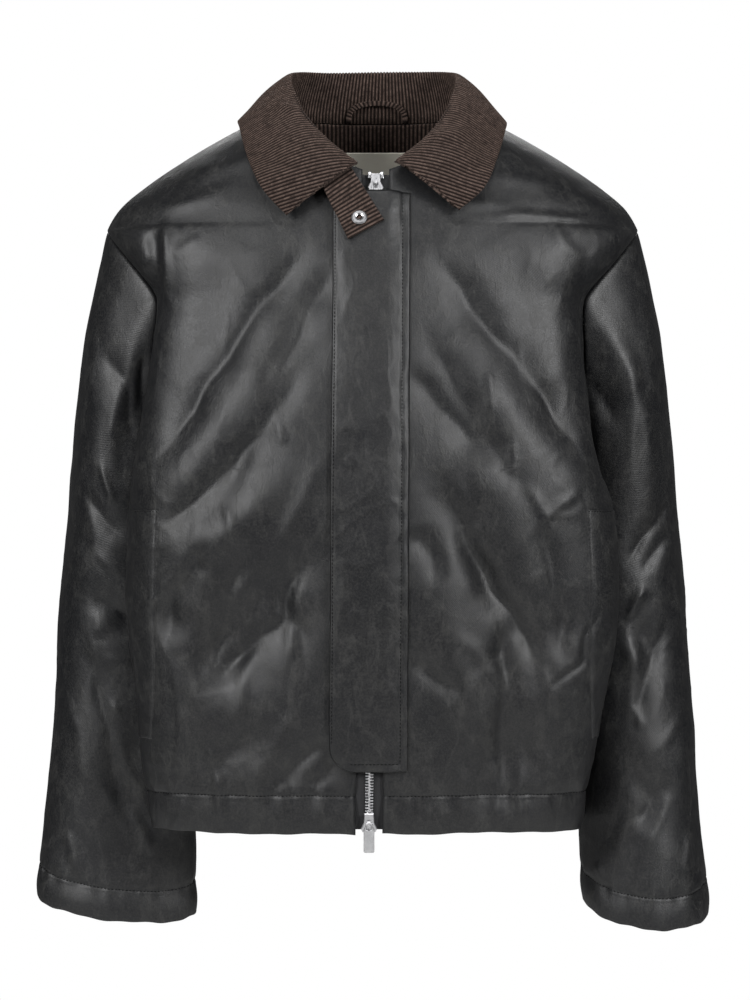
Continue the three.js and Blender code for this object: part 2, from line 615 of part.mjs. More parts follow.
// Welt of a side pocket, laid on the front's own points and round to the side.
function welt(name, side) {
  const levelOf = (z) => (z - HEM_Z) / (UNDERARM_Z - HEM_Z);
  const [low, high] = [levelOf(WELT.bottomZ), levelOf(WELT.topZ)];
  const rows = [low, ...levels.filter((v) => v > low + 0.01 && v < high - 0.01), high];
  const cols = frontCols.filter((c) => c > WELT_COLS.first && c < WELT_COLS.last);
  const at = (s, level, lift) => onPanel(side, s, level, lift);
  const place = (t, level) => {
    const z = levelZ(FRONT, level, 0);
    const down = (WELT.topZ - z) / (WELT.topZ - WELT.bottomZ);
    const start = alongAt(FRONT, side, mix(WELT.innerTop, WELT.innerBottom, down), z);
    const first = alongAt(FRONT, side, OPENING_HALF + side * zipX(z), z);
    const inner = (start - first) / (SIDE - first);
    const s = t < 0 ? mix(cols[0], inner, -t) : t;
    return { outer: at(s, level, WELT.lift + WELT.thick), inner: at(s, level, WELT.lift) };
  };
  return wall(name, materials.waxed, [-1, -0.6, -0.3, ...cols], rows, place, false, 0);
}

function throatTab() {
  const corner = (t, v) => {
    const pick = (k) => mix(mix(TAB.root[0][k], TAB.root[1][k], t), mix(TAB.end[0][k], TAB.end[1][k], t), v);
    return [pick(0), pick(1)];
  };
  const place = (t, v) => {
    const [x, z] = corner(t, v);
    return { outer: onFront(x, z, TAB.lift + CORD_CLOTH), inner: onFront(x, z, TAB.lift) };
  };
  return wall("throat_tab", materials.corduroy, span(5), span(8), place, false, 0);
}

// Turns a piece made flat in XY, with +Z as its front, so that it faces as the front does at x, z.
function seatOnFront(mesh, x, z, lift) {
  const low = onFront(x, z, lift);
  const out = onFront(x, z, lift + 1).sub(low);
  const up = new THREE.Vector3(0, 0, 1).addScaledVector(out, -out.z).normalize();
  const basis = new THREE.Matrix4().makeBasis(up.clone().cross(out), up, out);
  mesh.quaternion.setFromRotationMatrix(basis);
  mesh.position.copy(low);
  return mesh;
}

function snapRing() {
  const { outer, hole, thick } = RING;
  const profile = [[hole, 0], [outer, 0], [outer, 0.5], [outer - 1.2, thick]];
  profile.push([hole + 1.4, thick], [hole, 0.7], [hole, 0]);
  const ring = new THREE.LatheGeometry(profile.map(([x, y]) => new THREE.Vector2(x, y)), 28);
  ring.rotateX(Math.PI / 2);
  const mesh = new THREE.Mesh(ring, materials.metal);
  mesh.name = "snap_ring";
  return seatOnFront(mesh, RING.x, RING.z, TAB.lift + CORD_CLOTH + 0.3);
}

// A slider body in outline, wide at its wings, with a bridge over its middle for the pull.
const SLIDER = { long: 17, wings: 14.6, nose: 8.6, thick: 2.6 };
const BRIDGE = { wide: 2.4, top: 1.9, bottom: -4.4, leg: 1.1, inside: 2.6, roof: 1 };
const PULL = { width: 9.6, long: 21, thick: 1.3, bar: 2, eye: 4.4, off: 0.6 };

const wasm = await Module();
wasm.setup();

// A geometry's positions as one closed solid.
function solidOf(geometry) {
  const bare = geometry.index ? geometry.toNonIndexed() : geometry.clone();
  bare.deleteAttribute("normal");
  bare.deleteAttribute("uv");
  const merged = mergeVertices(bare, 1e-3);
  const vertProperties = merged.attributes.position.array;
  const triVerts = new Uint32Array(merged.index.array);
  return new wasm.Manifold(new wasm.Mesh({ numProp: 3, vertProperties, triVerts }));
}

// Two pieces cast as one, as a geometry.
function joined(first, second) {
  const mesh = solidOf(first).add(solidOf(second)).getMesh();
  const geometry = new THREE.BufferGeometry();
  geometry.setAttribute("position", new THREE.BufferAttribute(new Float32Array(mesh.vertProperties), 3));
  geometry.setIndex(Array.from(mesh.triVerts));
  geometry.computeVertexNormals();
  return geometry;
}

function extruded(name, shape, depth, bevel = 0) {
  const size = Math.min(bevel, depth / 3);
  const options = { depth: depth - 2 * size, bevelEnabled: bevel > 0, curveSegments: 8 };
  Object.assign(options, { bevelThickness: size, bevelSize: size, bevelOffset: -size, bevelSegments: 1 });
  const geometry = new THREE.ExtrudeGeometry(shape, options);
  geometry.translate(0, 0, size);
  const mesh = new THREE.Mesh(geometry, materials.metal);
  mesh.name = name;
  return mesh;
}

function slider(name, z) {
  const { long, wings, nose, thick } = SLIDER;
  const shape = new THREE.Shape();
  shape.moveTo(-nose / 2, long / 2);
  shape.lineTo(nose / 2, long / 2);
  shape.lineTo(nose / 2 + 0.4, 0);
  shape.lineTo(wings / 2, -long / 2 + 3);
  shape.lineTo(wings / 2 - 1.5, -long / 2);
  shape.lineTo(-wings / 2 + 1.5, -long / 2);
  shape.lineTo(-wings / 2, -long / 2 + 3);
  shape.lineTo(-nose / 2 - 0.4, 0);
  const mesh = extruded(name, shape, thick, 0.6);
  mesh.geometry = joined(mesh.geometry, bridge(thick));
  return seatOnFront(mesh, zipX(z), z, chainLift + CHAIN_THICK + 0.3);
}

// The arch on a slider's face that the pull's bar lies under.
function bridge(face) {
  const { wide, top, bottom, leg, inside, roof } = BRIDGE;
  const high = face + inside + roof;
  const side = new THREE.Shape();
  const outline = [[bottom, face - 0.5], [bottom, high - 1], [bottom + 1, high], [top - 1, high]];
  outline.push([top, high - 1], [top, face - 0.5], [top - leg, face - 0.5], [top - leg, high - roof]);
  outline.push([bottom + leg, high - roof], [bottom + leg, face - 0.5]);
  outline.forEach(([y, z], i) => (i ? side.lineTo(y, z) : side.moveTo(y, z)));
  const geometry = new THREE.ExtrudeGeometry(side, { depth: wide, bevelEnabled: false });
  geometry.translate(0, 0, -wide / 2);
  const turned = new THREE.Matrix4().makeBasis(
    new THREE.Vector3(0, 1, 0),
    new THREE.Vector3(0, 0, 1),
    new THREE.Vector3(1, 0, 0),
  );
  return geometry.applyMatrix4(turned);
}

// A pull plate whose top bar lies under the slider's bridge. Its window is as long as given.
function pull(name, z, long, window) {
  const { width, thick, bar, off } = PULL;
  const half = width / 2;
  const neck = 3.2;
  const outline = [[-half + 1, -long], [half - 1, -long], [half, -long + 1], [half, -bar - window - 1]];
  outline.push([neck, -bar - 1], [neck, -0.6], [neck - 0.6, 0], [-neck + 0.6, 0], [-neck, -0.6]);
  outline.push([-neck, -bar - 1], [-half, -bar - window - 1], [-half, -long + 1]);
  const shape = new THREE.Shape();
  outline.forEach(([x, y], i) => (i ? shape.lineTo(x, y) : shape.moveTo(x, y)));
  shape.closePath();
  const hole = new THREE.Path();
  hole.moveTo(-2, -bar).lineTo(-2, -bar - window).lineTo(2, -bar - window).lineTo(2, -bar).closePath();
  shape.holes.push(hole);
  return seatOnFront(extruded(name, shape, thick, 0.3), zipX(z), z, sliderTop + off);
}

// Corduroy facing under the collar inside the back.
function neckFacing() {
  const place = (s, t) => {
    const side = s < 0 ? -1 : 1;
    const z = mix(-1, -FACING.depth * (1 - FACING.shorter * s * s), t);
    const along = alongAt(BACK, side, Math.abs(s) * FACING.half, z);
    const at = (a, height) => section(BACK, side, Math.max(a, 0), height);
    const near = at(along + 0.02, z).sub(at(along - 0.02, z));
    const out = near.cross(at(along, z - 4).sub(at(along, z + 4))).normalize();
    if (out.y < 0) out.negate();
    const outer = at(along, z).addScaledVector(out, -CLOTH - FACING.off);
    return { outer, inner: outer.clone().addScaledVector(out, -FACING.thick) };
  };
  return wall("back_neck_facing", materials.corduroy, span(16, -1, 1), span(5), place, false, 0);
}

// A point on the facing's inner side, at a place of the front view.
function onFacing(x, z, lift) {
  const side = x < 0 ? -1 : 1;
  const point = section(BACK, side, alongAt(BACK, side, Math.abs(x), z), z);
  return point.add(new THREE.Vector3(0, -CLOTH - FACING.off - FACING.thick - lift, 0));
}

function label() {
  const place = (t, v) => {
    const x = LABEL.x + (t - 0.5) * LABEL.width;
    const z = mix(LABEL.bottom, LABEL.top, v);
    return { outer: onFacing(x, z, LABEL.lift + LABEL.thick), inner: onFacing(x, z, LABEL.lift) };
  };
  return wall("label", materials.label, span(6), span(3), place, false, 0);
}

// The hanger loop: a narrow band arched over from the neck seam, leaning off the stand.
function hangerLoop() {
  const place = (turn, v) => {
    const [across, up] = [Math.cos(rad(turn)), Math.sin(rad(turn))];
    const x = LABEL.x + (LOOP.half - LOOP.band * v) * across;
    const z = LOOP.footZ + (LOOP.rise - LOOP.band * v) * up ** 0.6;
    const seam = section(BACK, 1, alongAt(BACK, 1, Math.abs(x), 0), 0).y;
    const y = seam - LOOP.off - LOOP.lean * up;
    return { outer: new THREE.Vector3(x, y - LOOP.thick, z), inner: new THREE.Vector3(x, y, z) };
  };
  return wall("hanger_loop", materials.corduroy, span(14, 0, 180), [0, 1], place, false, 0);
}

const lowerSliderZ = -646;
const upperSliderZ = -73;
const sliderTop = chainLift + CHAIN_THICK + 0.3 + SLIDER.thick;

const jacket = new THREE.Group();
jacket.add(frontPanel("front_right", -1), frontPanel("front_left", 1), backPanel());
jacket.add(sleeve("sleeve_right", -1), sleeve("sleeve_left", 1));
jacket.add(collar(), stormFlap());
jacket.add(welt("pocket_welt_right", -1), welt("pocket_welt_left", 1));
jacket.add(throatTab(), snapRing());
jacket.add(zipChain(), zipTape("zip_tape_right", -1), zipTape("zip_tape_left", 1));
jacket.add(slider("zip_slider_upper", upperSliderZ), slider("zip_slider_lower", lowerSliderZ));
jacket.add(pull("zip_pull_upper", upperSliderZ, PULL.long - 4, PULL.eye + 5));
jacket.add(pull("zip_pull_lower", lowerSliderZ, PULL.long + 6, PULL.eye));
jacket.add(neckFacing(), label(), hangerLoop());

export default jacket;
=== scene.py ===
# A waist-length waxed cotton jacket, worn shape, hung at the neck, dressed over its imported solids.
# Lengths are in millimetres until a piece's points are laid, and in metres in Blender.
import math

import bmesh
import bpy
import numpy as np
from mathutils import Matrix, Vector


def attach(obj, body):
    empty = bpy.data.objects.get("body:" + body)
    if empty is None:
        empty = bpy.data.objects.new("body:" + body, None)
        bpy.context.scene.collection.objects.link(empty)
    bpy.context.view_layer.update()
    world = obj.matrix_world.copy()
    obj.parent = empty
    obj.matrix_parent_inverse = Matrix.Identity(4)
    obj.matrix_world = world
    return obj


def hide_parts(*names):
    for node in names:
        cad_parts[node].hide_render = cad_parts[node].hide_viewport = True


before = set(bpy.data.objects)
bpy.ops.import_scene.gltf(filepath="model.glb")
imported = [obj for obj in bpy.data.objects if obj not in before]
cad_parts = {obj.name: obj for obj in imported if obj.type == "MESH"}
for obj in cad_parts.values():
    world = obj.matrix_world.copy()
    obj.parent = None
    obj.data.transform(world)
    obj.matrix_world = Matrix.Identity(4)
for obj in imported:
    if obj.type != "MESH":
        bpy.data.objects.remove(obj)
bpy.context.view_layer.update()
MM = 0.001

# The photograph's view: level, square on, from a few paces off.
# The long side of the frame takes in 930 mm of the shoulder plane.
CAMERA_AWAY, SEEN, SENSOR = 3.2, 0.93, 36


def put(name, data):
    """Adds an object with its data to the scene."""
    made = bpy.data.objects.new(name, data)
    bpy.context.scene.collection.objects.link(made)
    return made


camera_data = bpy.data.cameras.new("camera")
camera_data.sensor_width = SENSOR
camera_data.lens = SENSOR * CAMERA_AWAY / SEEN
camera_data.clip_end = 50
camera = put("camera", camera_data)
camera.location = (0.0023, -CAMERA_AWAY, -0.358)
camera.rotation_euler = (math.pi / 2, 0, 0)
bpy.context.scene.camera = camera

# The two fronts: waxed cotton, cut on the straight, sewn to the back at the shoulders and sides
# and to the sleeves at the armholes, with a turned hem band. They bulge in broad slanting folds
# that fall from the flap to the pockets, and carry a net of small soft creases.
HEM_Z, HEM_BAND, UNDERARM_Z, TIP_Z, NECK_FRONT_Z = -657, 34, -330, -107, -60
CLOTH, HEM_PUFF, OPENING_HALF = 2.0, 1.6, 12
ZIP_TOP = (3, -64)
ZIP_BOTTOM = (-3, -640)
FRONT, BACK = -1, 1
SIDE = 4 / 3


def table(header, rows):
    """Columns of a table by name. Its rows run down in z."""
    return dict(zip(header.split(), np.array(rows, float).T))


BODY = table(
    "z right left crestY front sideR sideL sideY backX backY back round",
    [
        (0, 92, 92, 0, 64, 92, 92, 0, 92, 0, 86, 2.2),
        (-14, 122, 122, 0, 74, 122, 122, 0, 122, 0, 94, 2.2),
        (-32, 155, 155, 0, 86, 155, 155, 0, 155, 0, 104, 2.2),
        (-51, 186, 186, 0, 95, 186, 186, 0, 186, 0, 112, 2.2),
        (-70, 213, 213, 0, 103, 213, 213, 0, 213, 0, 118, 2.2),
        (-88, 234, 234, 0, 110, 234, 234, 0, 234, 0, 123, 2.2),
        (-107, 246, 246, 0, 116, 246, 246, 0, 246, 0, 128, 2.2),
        (-112, 244, 244, 13, 117.6, 240, 240, 1, 244, 13, 129, 2.2),
        (-122, 237, 237, 27, 120.7, 232, 232, 2, 237, 27, 131, 2.2),
        (-140, 222, 222, 42, 126, 216, 216, 4, 224, 42, 134, 2.25),
        (-158, 207, 206, 52, 130, 204, 202, 6, 210, 53, 136, 2.3),
        (-176, 197, 194, 60, 134, 194, 192, 9, 202, 60, 138, 2.3),
        (-212, 200, 194, 67, 140, 188, 186, 14, 194, 66, 140, 2.3),
        (-267, 209, 201, 71, 147, 177, 177, 21, 184, 68, 139, 2.3),
        (-330, 217, 210, 73, 151, 167, 170, 26, 177, 67, 136, 2.35),
        (-367, 220, 218, 73, 152, 163, 168, 26, 175, 65, 134, 2.35),
        (-431, 223, 223, 72, 150, 161, 168, 25, 174, 62, 130, 2.35),
        (-485, 220, 220, 70, 145, 160, 170, 24, 174, 60, 126, 2.3),
        (-540, 214, 210, 66, 139, 159, 174, 21, 174, 57, 122, 2.3),
        (-595, 210, 202, 60, 132, 157, 177, 18, 174, 53, 116, 2.25),
        (-657, 202, 191, 51, 123, 153, 176, 14, 172, 48, 110, 2.2),
    ],
)
ARMHOLE = table(
    "z edge",
    [(TIP_Z, 1), (-158, 1), (-176, 1.01), (-212, 1.06), (-250, 1.12), (-285, 1.18), (-314, 1.25)]
    + [(UNDERARM_Z, SIDE)],
)


def mix(a, b, t):
    return a + (b - a) * t


def soft(x):
    x = np.clip(x, 0, 1)
    return x * x * (3 - 2 * x)


def column(rows, name, z):
    """A smooth curve through one column of a table."""
    levels, values = rows["z"], rows[name]
    slopes = np.empty_like(values)
    slopes[1:-1] = (values[2:] - values[:-2]) / (levels[2:] - levels[:-2])
    slopes[0] = (values[1] - values[0]) / (levels[1] - levels[0])
    slopes[-1] = (values[-1] - values[-2]) / (levels[-1] - levels[-2])
    at = np.clip(z, levels[-1], levels[0])
    i = np.clip(np.searchsorted(-levels, -at, side="left") - 1, 0, len(levels) - 2)
    step = levels[i + 1] - levels[i]
    t = (at - levels[i]) / step
    start = values[i] * (1 - soft(t)) + slopes[i] * step * t * (1 - t) ** 2
    return start + values[i + 1] * soft(t) - slopes[i + 1] * step * t * t * (1 - t)


def crest_x(face, side, z):
    """Half-width of the front or back at its crest."""
    front = np.where(side < 0, column(BODY, "right", z), column(BODY, "left", z))
    return np.where(face == BACK, column(BODY, "backX", z), front)


def along_at(face, side, x, z):
    """Distance along a section for a half-distance from the centre line."""
    share = np.clip(x / crest_x(face, side, z), 0, 1)
    return np.arcsin(share ** (column(BODY, "round", z) / 2)) * 2 / math.pi


def stack(x, y, z):
    return np.stack(np.broadcast_arrays(x, y, z), -1)


def section(face, side, along, z):
    """A point of the body's section: 0 centre, 1 crest, SIDE side seam."""
    power = 2 / column(BODY, "round", z)
    wide = crest_x(face, side, z)
    crest = np.where(face == FRONT, column(BODY, "crestY", z), column(BODY, "backY", z))
    deep = np.where(face == FRONT, column(BODY, "front", z), column(BODY, "back", z))
    turn = np.clip(along, 0, 1) * math.pi / 2
    x = wide * np.sin(turn) ** power
    y = face * (crest + (deep - crest) * np.maximum(np.cos(turn), 0) ** power)
    t = np.clip((along - 1) / (SIDE - 1), 0, 1)
    pressed = np.where(side < 0, column(BODY, "sideR", z), column(BODY, "sideL", z))
    beyond = along > 1
    x = np.where(beyond, mix(wide, pressed, soft(t)), x)
    y = np.where(beyond, mix(face * crest, column(BODY, "sideY", z), t), y)
    return stack(side * x, y, z)


def level_z(face, level, s):
    """Rows: 0 hem to 1 underarm to 2 shoulder tip to 3 neckline."""
    low = mix(HEM_Z, UNDERARM_Z, level)
    middle = mix(UNDERARM_Z, TIP_Z, (1 - np.cos(math.pi * (level - 1))) / 2)
    neck = np.where(face == FRONT, NECK_FRONT_Z * (1 - np.clip(s, 0, 1)) ** 2.2, 0)
    return np.where(level <= 1, low, np.where(level <= 2, middle, mix(TIP_Z, neck, level - 2)))


def edge_along(z):
    arm = np.where(z >= TIP_Z, 1, column(ARMHOLE, "edge", z))
    return np.where(z <= UNDERARM_Z, SIDE, arm)


def zip_x(z):
    return mix(ZIP_TOP[0], ZIP_BOTTOM[0], (ZIP_TOP[1] - z) / (ZIP_TOP[1] - ZIP_BOTTOM[1]))


def first_along(face, side, z):
    """Where a panel starts: at the zip on the fronts, at the centre on the back."""
    return np.where(face == FRONT, along_at(FRONT, side, OPENING_HALF + side * zip_x(z), z), 0)


def panel(face, side, s, level):
    """A panel's bare surface. Past its side edge it carries on into the panel it is sewn to."""
    over = np.maximum(s - 1, 0)
    inside = np.minimum(s, 1) - over
    armhole = (level > 1.001) & (level < 1.999)
    there = np.where((over > 0) & ~armhole, -face, face)
    z = level_z(there, level, inside)
    spot = section(there, side, mix(first_along(there, side, z), edge_along(z), inside), z)
    edge_z = level_z(face, level, 1)
    edge = section(face, side, edge_along(edge_z), edge_z)
    return np.where(((over > 0) & armhole)[..., None], 2 * edge - spot, spot)


def unit(v):
    return v / np.maximum(np.linalg.norm(v, axis=-1, keepdims=True), 1e-9)


def body_facing(face, side, s, level):
    step = 0.012
    across = panel(face, side, s + step, level) - panel(face, side, np.maximum(s - step, 0), level)
    up = panel(face, side, s, np.minimum(level + step, 3)) - panel(face, side, s, np.maximum(level - step, 0))
    return unit(np.cross(across, up)) * (-face * np.asarray(side, float))[..., None]


def ridges(rows, across, up, scale=1.0):
    """Broad folds, each a swelling along a line that dies away past its ends."""
    total = 0
    for a0, b0, a1, b1, wide, high in rows:
        da, db = (a1 - a0) * scale, b1 - b0
        t = ((across - a0) * scale * da + (up - b0) * db) / (da * da + db * db)
        k = np.clip(t, 0, 1)
        off2 = ((across - a0) * scale - k * da) ** 2 + (up - b0 - k * db) ** 2
        total = total + high * (0.35 + 0.65 * np.sin(math.pi * k)) * np.exp(-off2 / wide**2)
    return total


def creases(rows, across, up, scale=1.0):
    """Narrower creases that taper to nothing at both ends, each with a bow to one side."""
    total = 0
    for a0, b0, a1, b1, wide, high, bow in rows:
        da, db = (a1 - a0) * scale, b1 - b0
        size = math.hypot(da, db)
        t = ((across - a0) * scale * da + (up - b0) * db) / size**2
        off = ((across - a0) * scale * db - (up - b0) * da) / size - bow * 4 * t * (1 - t)
        taper = soft(t / 0.35) * soft((1 - t) / 0.35)
        total = total + high * taper * np.exp(-((off / wide) ** 2))
    return total


def swell(seed, length, count=16):
    """An uneven swell through space, about -1 to 1, in waves of about that length."""
    draw = np.random.default_rng(seed)
    turns = unit(draw.normal(size=(count, 3))) * draw.uniform(0.6, 1.6, (count, 1)) * 2 * math.pi / length
    starts = draw.uniform(0, 2 * math.pi, count)
    return lambda points: np.cos(points @ turns.T + starts).sum(-1) / math.sqrt(count)


def beside(line, across, up, scale):
    """How far along a broken line each point lies, 0 to 1, and how far off to the line's left."""
    stops = np.array(line, float) * (scale, 1)
    steps = np.diff(stops, axis=0)
    longs = np.hypot(steps[:, 0], steps[:, 1])
    share, off, gone = 0, np.inf, 0
    for (a, b), (da, db), long in zip(stops, steps, longs):
        k = np.clip(((across * scale - a) * da + (up - b) * db) / long**2, 0, 1)
        pa, pb = across * scale - a, up - b
        far = np.hypot(pa - k * da, pb - k * db)
        nearer = far < np.abs(off)
        share = np.where(nearer, (gone + k * long) / longs.sum(), share)
        off = np.where(nearer, np.where(da * pb - db * pa < 0, -far, far), off)
        gone += long
    return share, off


def tucks(rows, across, up, scale=1.0):
    """Sharp folds: a valley along a broken line with soft flanks, the wider one to the line's
    left where the width is positive."""
    total = 0
    for deep, wide, *line in rows:
        share, off = beside(line, across, up, scale)
        off = off * math.copysign(1, wide)
        reach = np.where(off > 0, abs(wide), 0.65 * abs(wide))
        fall = np.exp(-(np.sqrt(off * off + 2.5) - 1.6) / reach)
        total = total - deep * soft(share / 0.3) * soft((1 - share) / 0.3) * fall
    return total


def lines(rows, across, up, scale=1.0):
    """Thin ridges, or creases where the height is negative, along broken lines."""
    total = 0
    for high, wide, *line in rows:
        share, off = beside(line, across, up, scale)
        total = total + high * soft(share / 0.3) * soft((1 - share) / 0.3) * np.exp(-((off / wide) ** 2))
    return total


broad_swell, small_swell = swell(3, 150), swell(5, 62)
net_swell, fine_net, warp_swell = swell(7, 70), swell(11, 34), swell(13, 90)

# Broad folds: from one point of the front view to another, how wide and how high.
FRONT_FOLDS = {
    -1: [
        (-70, -190, -186, -356, 22, 4),
        (-118, -130, -178, -250, 24, -3.5),
        (-88, -420, -142, -508, 17, -5.5),
        (-62, -330, -160, -410, 20, 3),
        (-90, -560, -160, -600, 22, -3),
    ],
    1: [
        (66, -205, 186, -356, 22, 4),
        (112, -125, 172, -240, 24, -3.5),
        (86, -385, 110, -450, 13, -5.5),
        (51, -430, 84, -560, 20, 4),
        (150, -560, 90, -640, 24, -3),
    ],
}
# Sharp folds: how deep, how wide and on which side, and the places of the front view they pass.
FRONT_TUCKS = {
    -1: [
        (9.0, 32, (-45, -110), (-90, -170), (-117, -204), (-141, -242), (-173, -289), (-212, -340)),
        (4.5, 18, (-30, -140), (-61, -193), (-82, -236), (-95, -272)),
        (5.0, 20, (-90, -290), (-119, -316), (-162, -360), (-196, -392)),
        (8.0, 26, (-48, -372), (-72, -435), (-83, -466), (-110, -493), (-133, -512), (-165, -538)),
        (4.5, -14, (-116, -385), (-124, -422), (-133, -449), (-139, -481), (-159, -530)),
        (4.0, 13, (-36, -566), (-68, -595), (-92, -622)),
        (2.4, 8, (-26, -584), (-43, -607), (-58, -618)),
        (3.5, 13, (-140, -392), (-164, -422), (-180, -450), (-184, -495)),
    ],
    1: [
        (9.0, -32, (46, -124), (85, -173), (108, -208), (141, -245), (160, -274), (176, -297), (196, -336)),
        (5.0, -20, (34, -232), (52, -265), (80, -295), (108, -330)),
        (7.5, -26, (40, -312), (63, -344), (90, -398), (112, -438), (144, -481), (168, -540)),
        (4.0, 18, (108, -450), (116, -500), (118, -550), (116, -620)),
        (3.0, 16, (150, -360), (166, -440), (180, -520)),
        (2.5, -9, (42, -378), (50, -408), (53, -438)),
        (3.0, -11, (32, -490), (54, -516), (82, -536)),
        (3.5, -12, (192, -118), (191, -168), (199, -218), (206, -255), (208, -318), (212, -380)),
    ],
}
# Thin ridges and creases: how high, how wide, and the places that they pass.
FRONT_LINES = {
    -1: [
        (2.4, 4, (-187, -96), (-187, -140), (-188, -184)),
        (-5.0, 7, (-199, -104), (-197, -182)),
        (1.3, 2.5, (-203, -130), (-208, -152)),
        (1.5, 3, (-87, -278), (-79, -312)),
        (2.6, 6, (-47, -391), (-58, -408), (-68, -445), (-74, -493), (-80, -522)),
        (1.8, 3.5, (-130, -360), (-120, -398)),
        (-1.6, 3, (-151, -431), (-145, -466), (-153, -481)),
        (1.8, 4, (-103, -585), (-103, -652)),
        (1.5, 3.5, (-80, -590), (-80, -652)),
        (1.7, 4, (-45, -600), (-46, -654)),
        (1.3, 3, (-22, -604), (-23, -654)),
        (1.6, 4, (-140, -596), (-136, -652)),
        (1.4, 4, (-178, -500), (-172, -560), (-176, -618)),
    ],
    1: [
        (2.0, 4.5, (86, -106), (134, -101), (188, -104), (214, -95)),
        (1.5, 3, (104, -238), (105, -285)),
        (1.4, 3, (125, -303), (123, -338)),
        (-1.6, 2.5, (212, -446), (192, -481), (190, -504), (152, -531)),
        (-2.2, 4, (80, -549), (84, -618)),
        (1.4, 3, (27, -600), (28, -654)),
        (1.6, 3.5, (44, -592), (45, -652)),
        (1.8, 4, (81, -588), (82, -652)),
        (2.4, 4.5, (111, -582), (111, -654)),
        (1.6, 3.5, (133, -590), (134, -652)),
        (1.5, 4, (160, -580), (156, -646)),
    ],
}
# Smaller creases: the same, with how far each bows to a side.
FRONT_CREASES = {
    -1: [
        (-36, -200, -170, -392, 10, -3, -5),
        (-30, -300, -88, -430, 9, 1.8, 6),
        (-96, -420, -58, -520, 6, -1.5, -6),
        (-70, -440, -130, -560, 6, 1.7, 7),
        (-110, -520, -160, -618, 6, 1.8, -4),
        (-60, -540, -100, -616, 5, 1.5, 5),
        (-150, -560, -128, -622, 4.5, 1.4, 3),
        (-150, -120, -186, -140, 5, 1.2, 2),
        (-170, -66, -88, -46, 8, 1.6, -3),
        (-210, -96, -120, -72, 7, 1.4, 4),
        (-176, -420, -206, -470, 5, 1.5, 3),
    ],
    1: [
        (38, -190, 150, -370, 10, -3, 5),
        (60, -320, 120, -452, 7, 2.2, -5),
        (84, -330, 98, -410, 5, -1.5, 3),
        (52, -330, 82, -392, 5, 1.6, -3),
        (132, -340, 172, -404, 5, 1.7, -4),
        (150, -378, 186, -344, 4, 1.4, 3),
        (70, -470, 132, -560, 6, 1.9, -6),
        (44, -520, 100, -600, 5, 1.6, -5),
        (110, -520, 150, -612, 5, -1.6, -4),
        (150, -480, 176, -560, 5, 1.5, 3),
        (56, -600, 92, -560, 4, 1.2, 2),
        (86, -60, 176, -70, 8, 1.8, 3),
        (60, -92, 140, -98, 6, 1.2, -3),
        (160, -96, 188, -146, 6, 1.6, 4),
    ],
}


def net(points, fine=1.0):
    """Sharp-edged little puckers, as stiff coated cloth takes when it is worn."""
    warped = points + 9 * stack(warp_swell(points), warp_swell(points + 400), warp_swell(points - 300))
    large = np.maximum(1 - 1.9 * np.abs(net_swell(warped)), 0) ** 2
    small = np.maximum(1 - 1.9 * np.abs(fine_net(warped)), 0) ** 2
    return 0.55 * large + 0.24 * fine * small


def band(above, deep, across):
    """A turned and stitched band: it swells under its stitch line, which draws the cloth in."""
    t = above / deep
    puff = HEM_PUFF * np.sin(math.pi * np.minimum(t + 0.12, 1)) - 0.4
    under = -HEM_PUFF * 0.5 * (1 - (above - deep) / 8)
    base = np.where(above > deep + 8, 0, np.where(t > 1, under, puff))
    off = above - deep
    groove = -0.7 * np.exp(-((off / 1.5) ** 2))
    gather = 0.75 * np.sin(across / 2.6 + 2.2 * np.sin(across / 17)) + 0.6 * np.sin(across / 6.1)
    return base + groove + gather * np.exp(-np.abs(off) / 7) * (above > 1.5)


def relief(face, side, s, point):
    """How far the cloth of a body panel stands out of its bare surface."""
    x, z = point[..., 0], point[..., 2]
    wavy = x + 3 * small_swell(point)
    calm = soft((1 - s) / 0.1) * soft((-70 - z) / 45)
    if face == FRONT:
        calm = calm * soft(s / 0.25)
        deeper = 1.3 + 0.7 * np.clip((-z - 260) / 200, 0, 1)
        folds = ridges(FRONT_FOLDS[side], x, z) * deeper
        small = creases(FRONT_CREASES[side], wavy, z) + deeper * tucks(FRONT_TUCKS[side], wavy, z)
        small = small + lines(FRONT_LINES[side], x, z)
    else:
        folds = ridges(BACK_FOLDS, x, z)
        small = creases(BACK_CREASES, wavy, z) + 1.3 * tucks(BACK_TUCKS, wavy, z)
    edge = soft((1 - s) / 0.05)
    loose = edge * (0.35 + 0.65 * soft((-90 - z) / 80))
    if face == FRONT:
        loose = loose * (0.25 + 0.75 * soft(s / 0.3))
    swells = 0.7 * broad_swell(point) + 0.3 * small_swell(point)
    return calm * folds + edge * small + loose * (swells + net(point, soft((-330 - z) / 200)))


def body_skin(face, side, s, level, lift=0.0):
    """Points of a dressed panel and the way that each faces."""
    point = panel(face, side, s, level)
    out = body_facing(face, side, s, level)
    high = relief(face, side, s, point) + lift
    seam = np.exp(-(((1 - s) * 260 / 2.6) ** 2))
    x, above = point[..., 0], point[..., 2] - HEM_Z
    high = high + band(above, HEM_BAND, x) - 1.1 * seam
    wave = 0.7 * np.sin(x / 14 + 1.7 * np.sin(x / 37)) + 0.3 * np.sin(x / 5.3)
    placed = point + out * high[..., None]
    placed[..., 2] += wave * np.exp(-above / 16)
    return placed, out


def ended(name, made, finish):
    """Ends a bmesh as an object with its finish."""
    for each in made.faces:
        each.smooth = True
    mesh = bpy.data.meshes.new(name)
    made.to_mesh(mesh)
    made.free()
    mesh.materials.append(finish)
    return put(name, mesh)


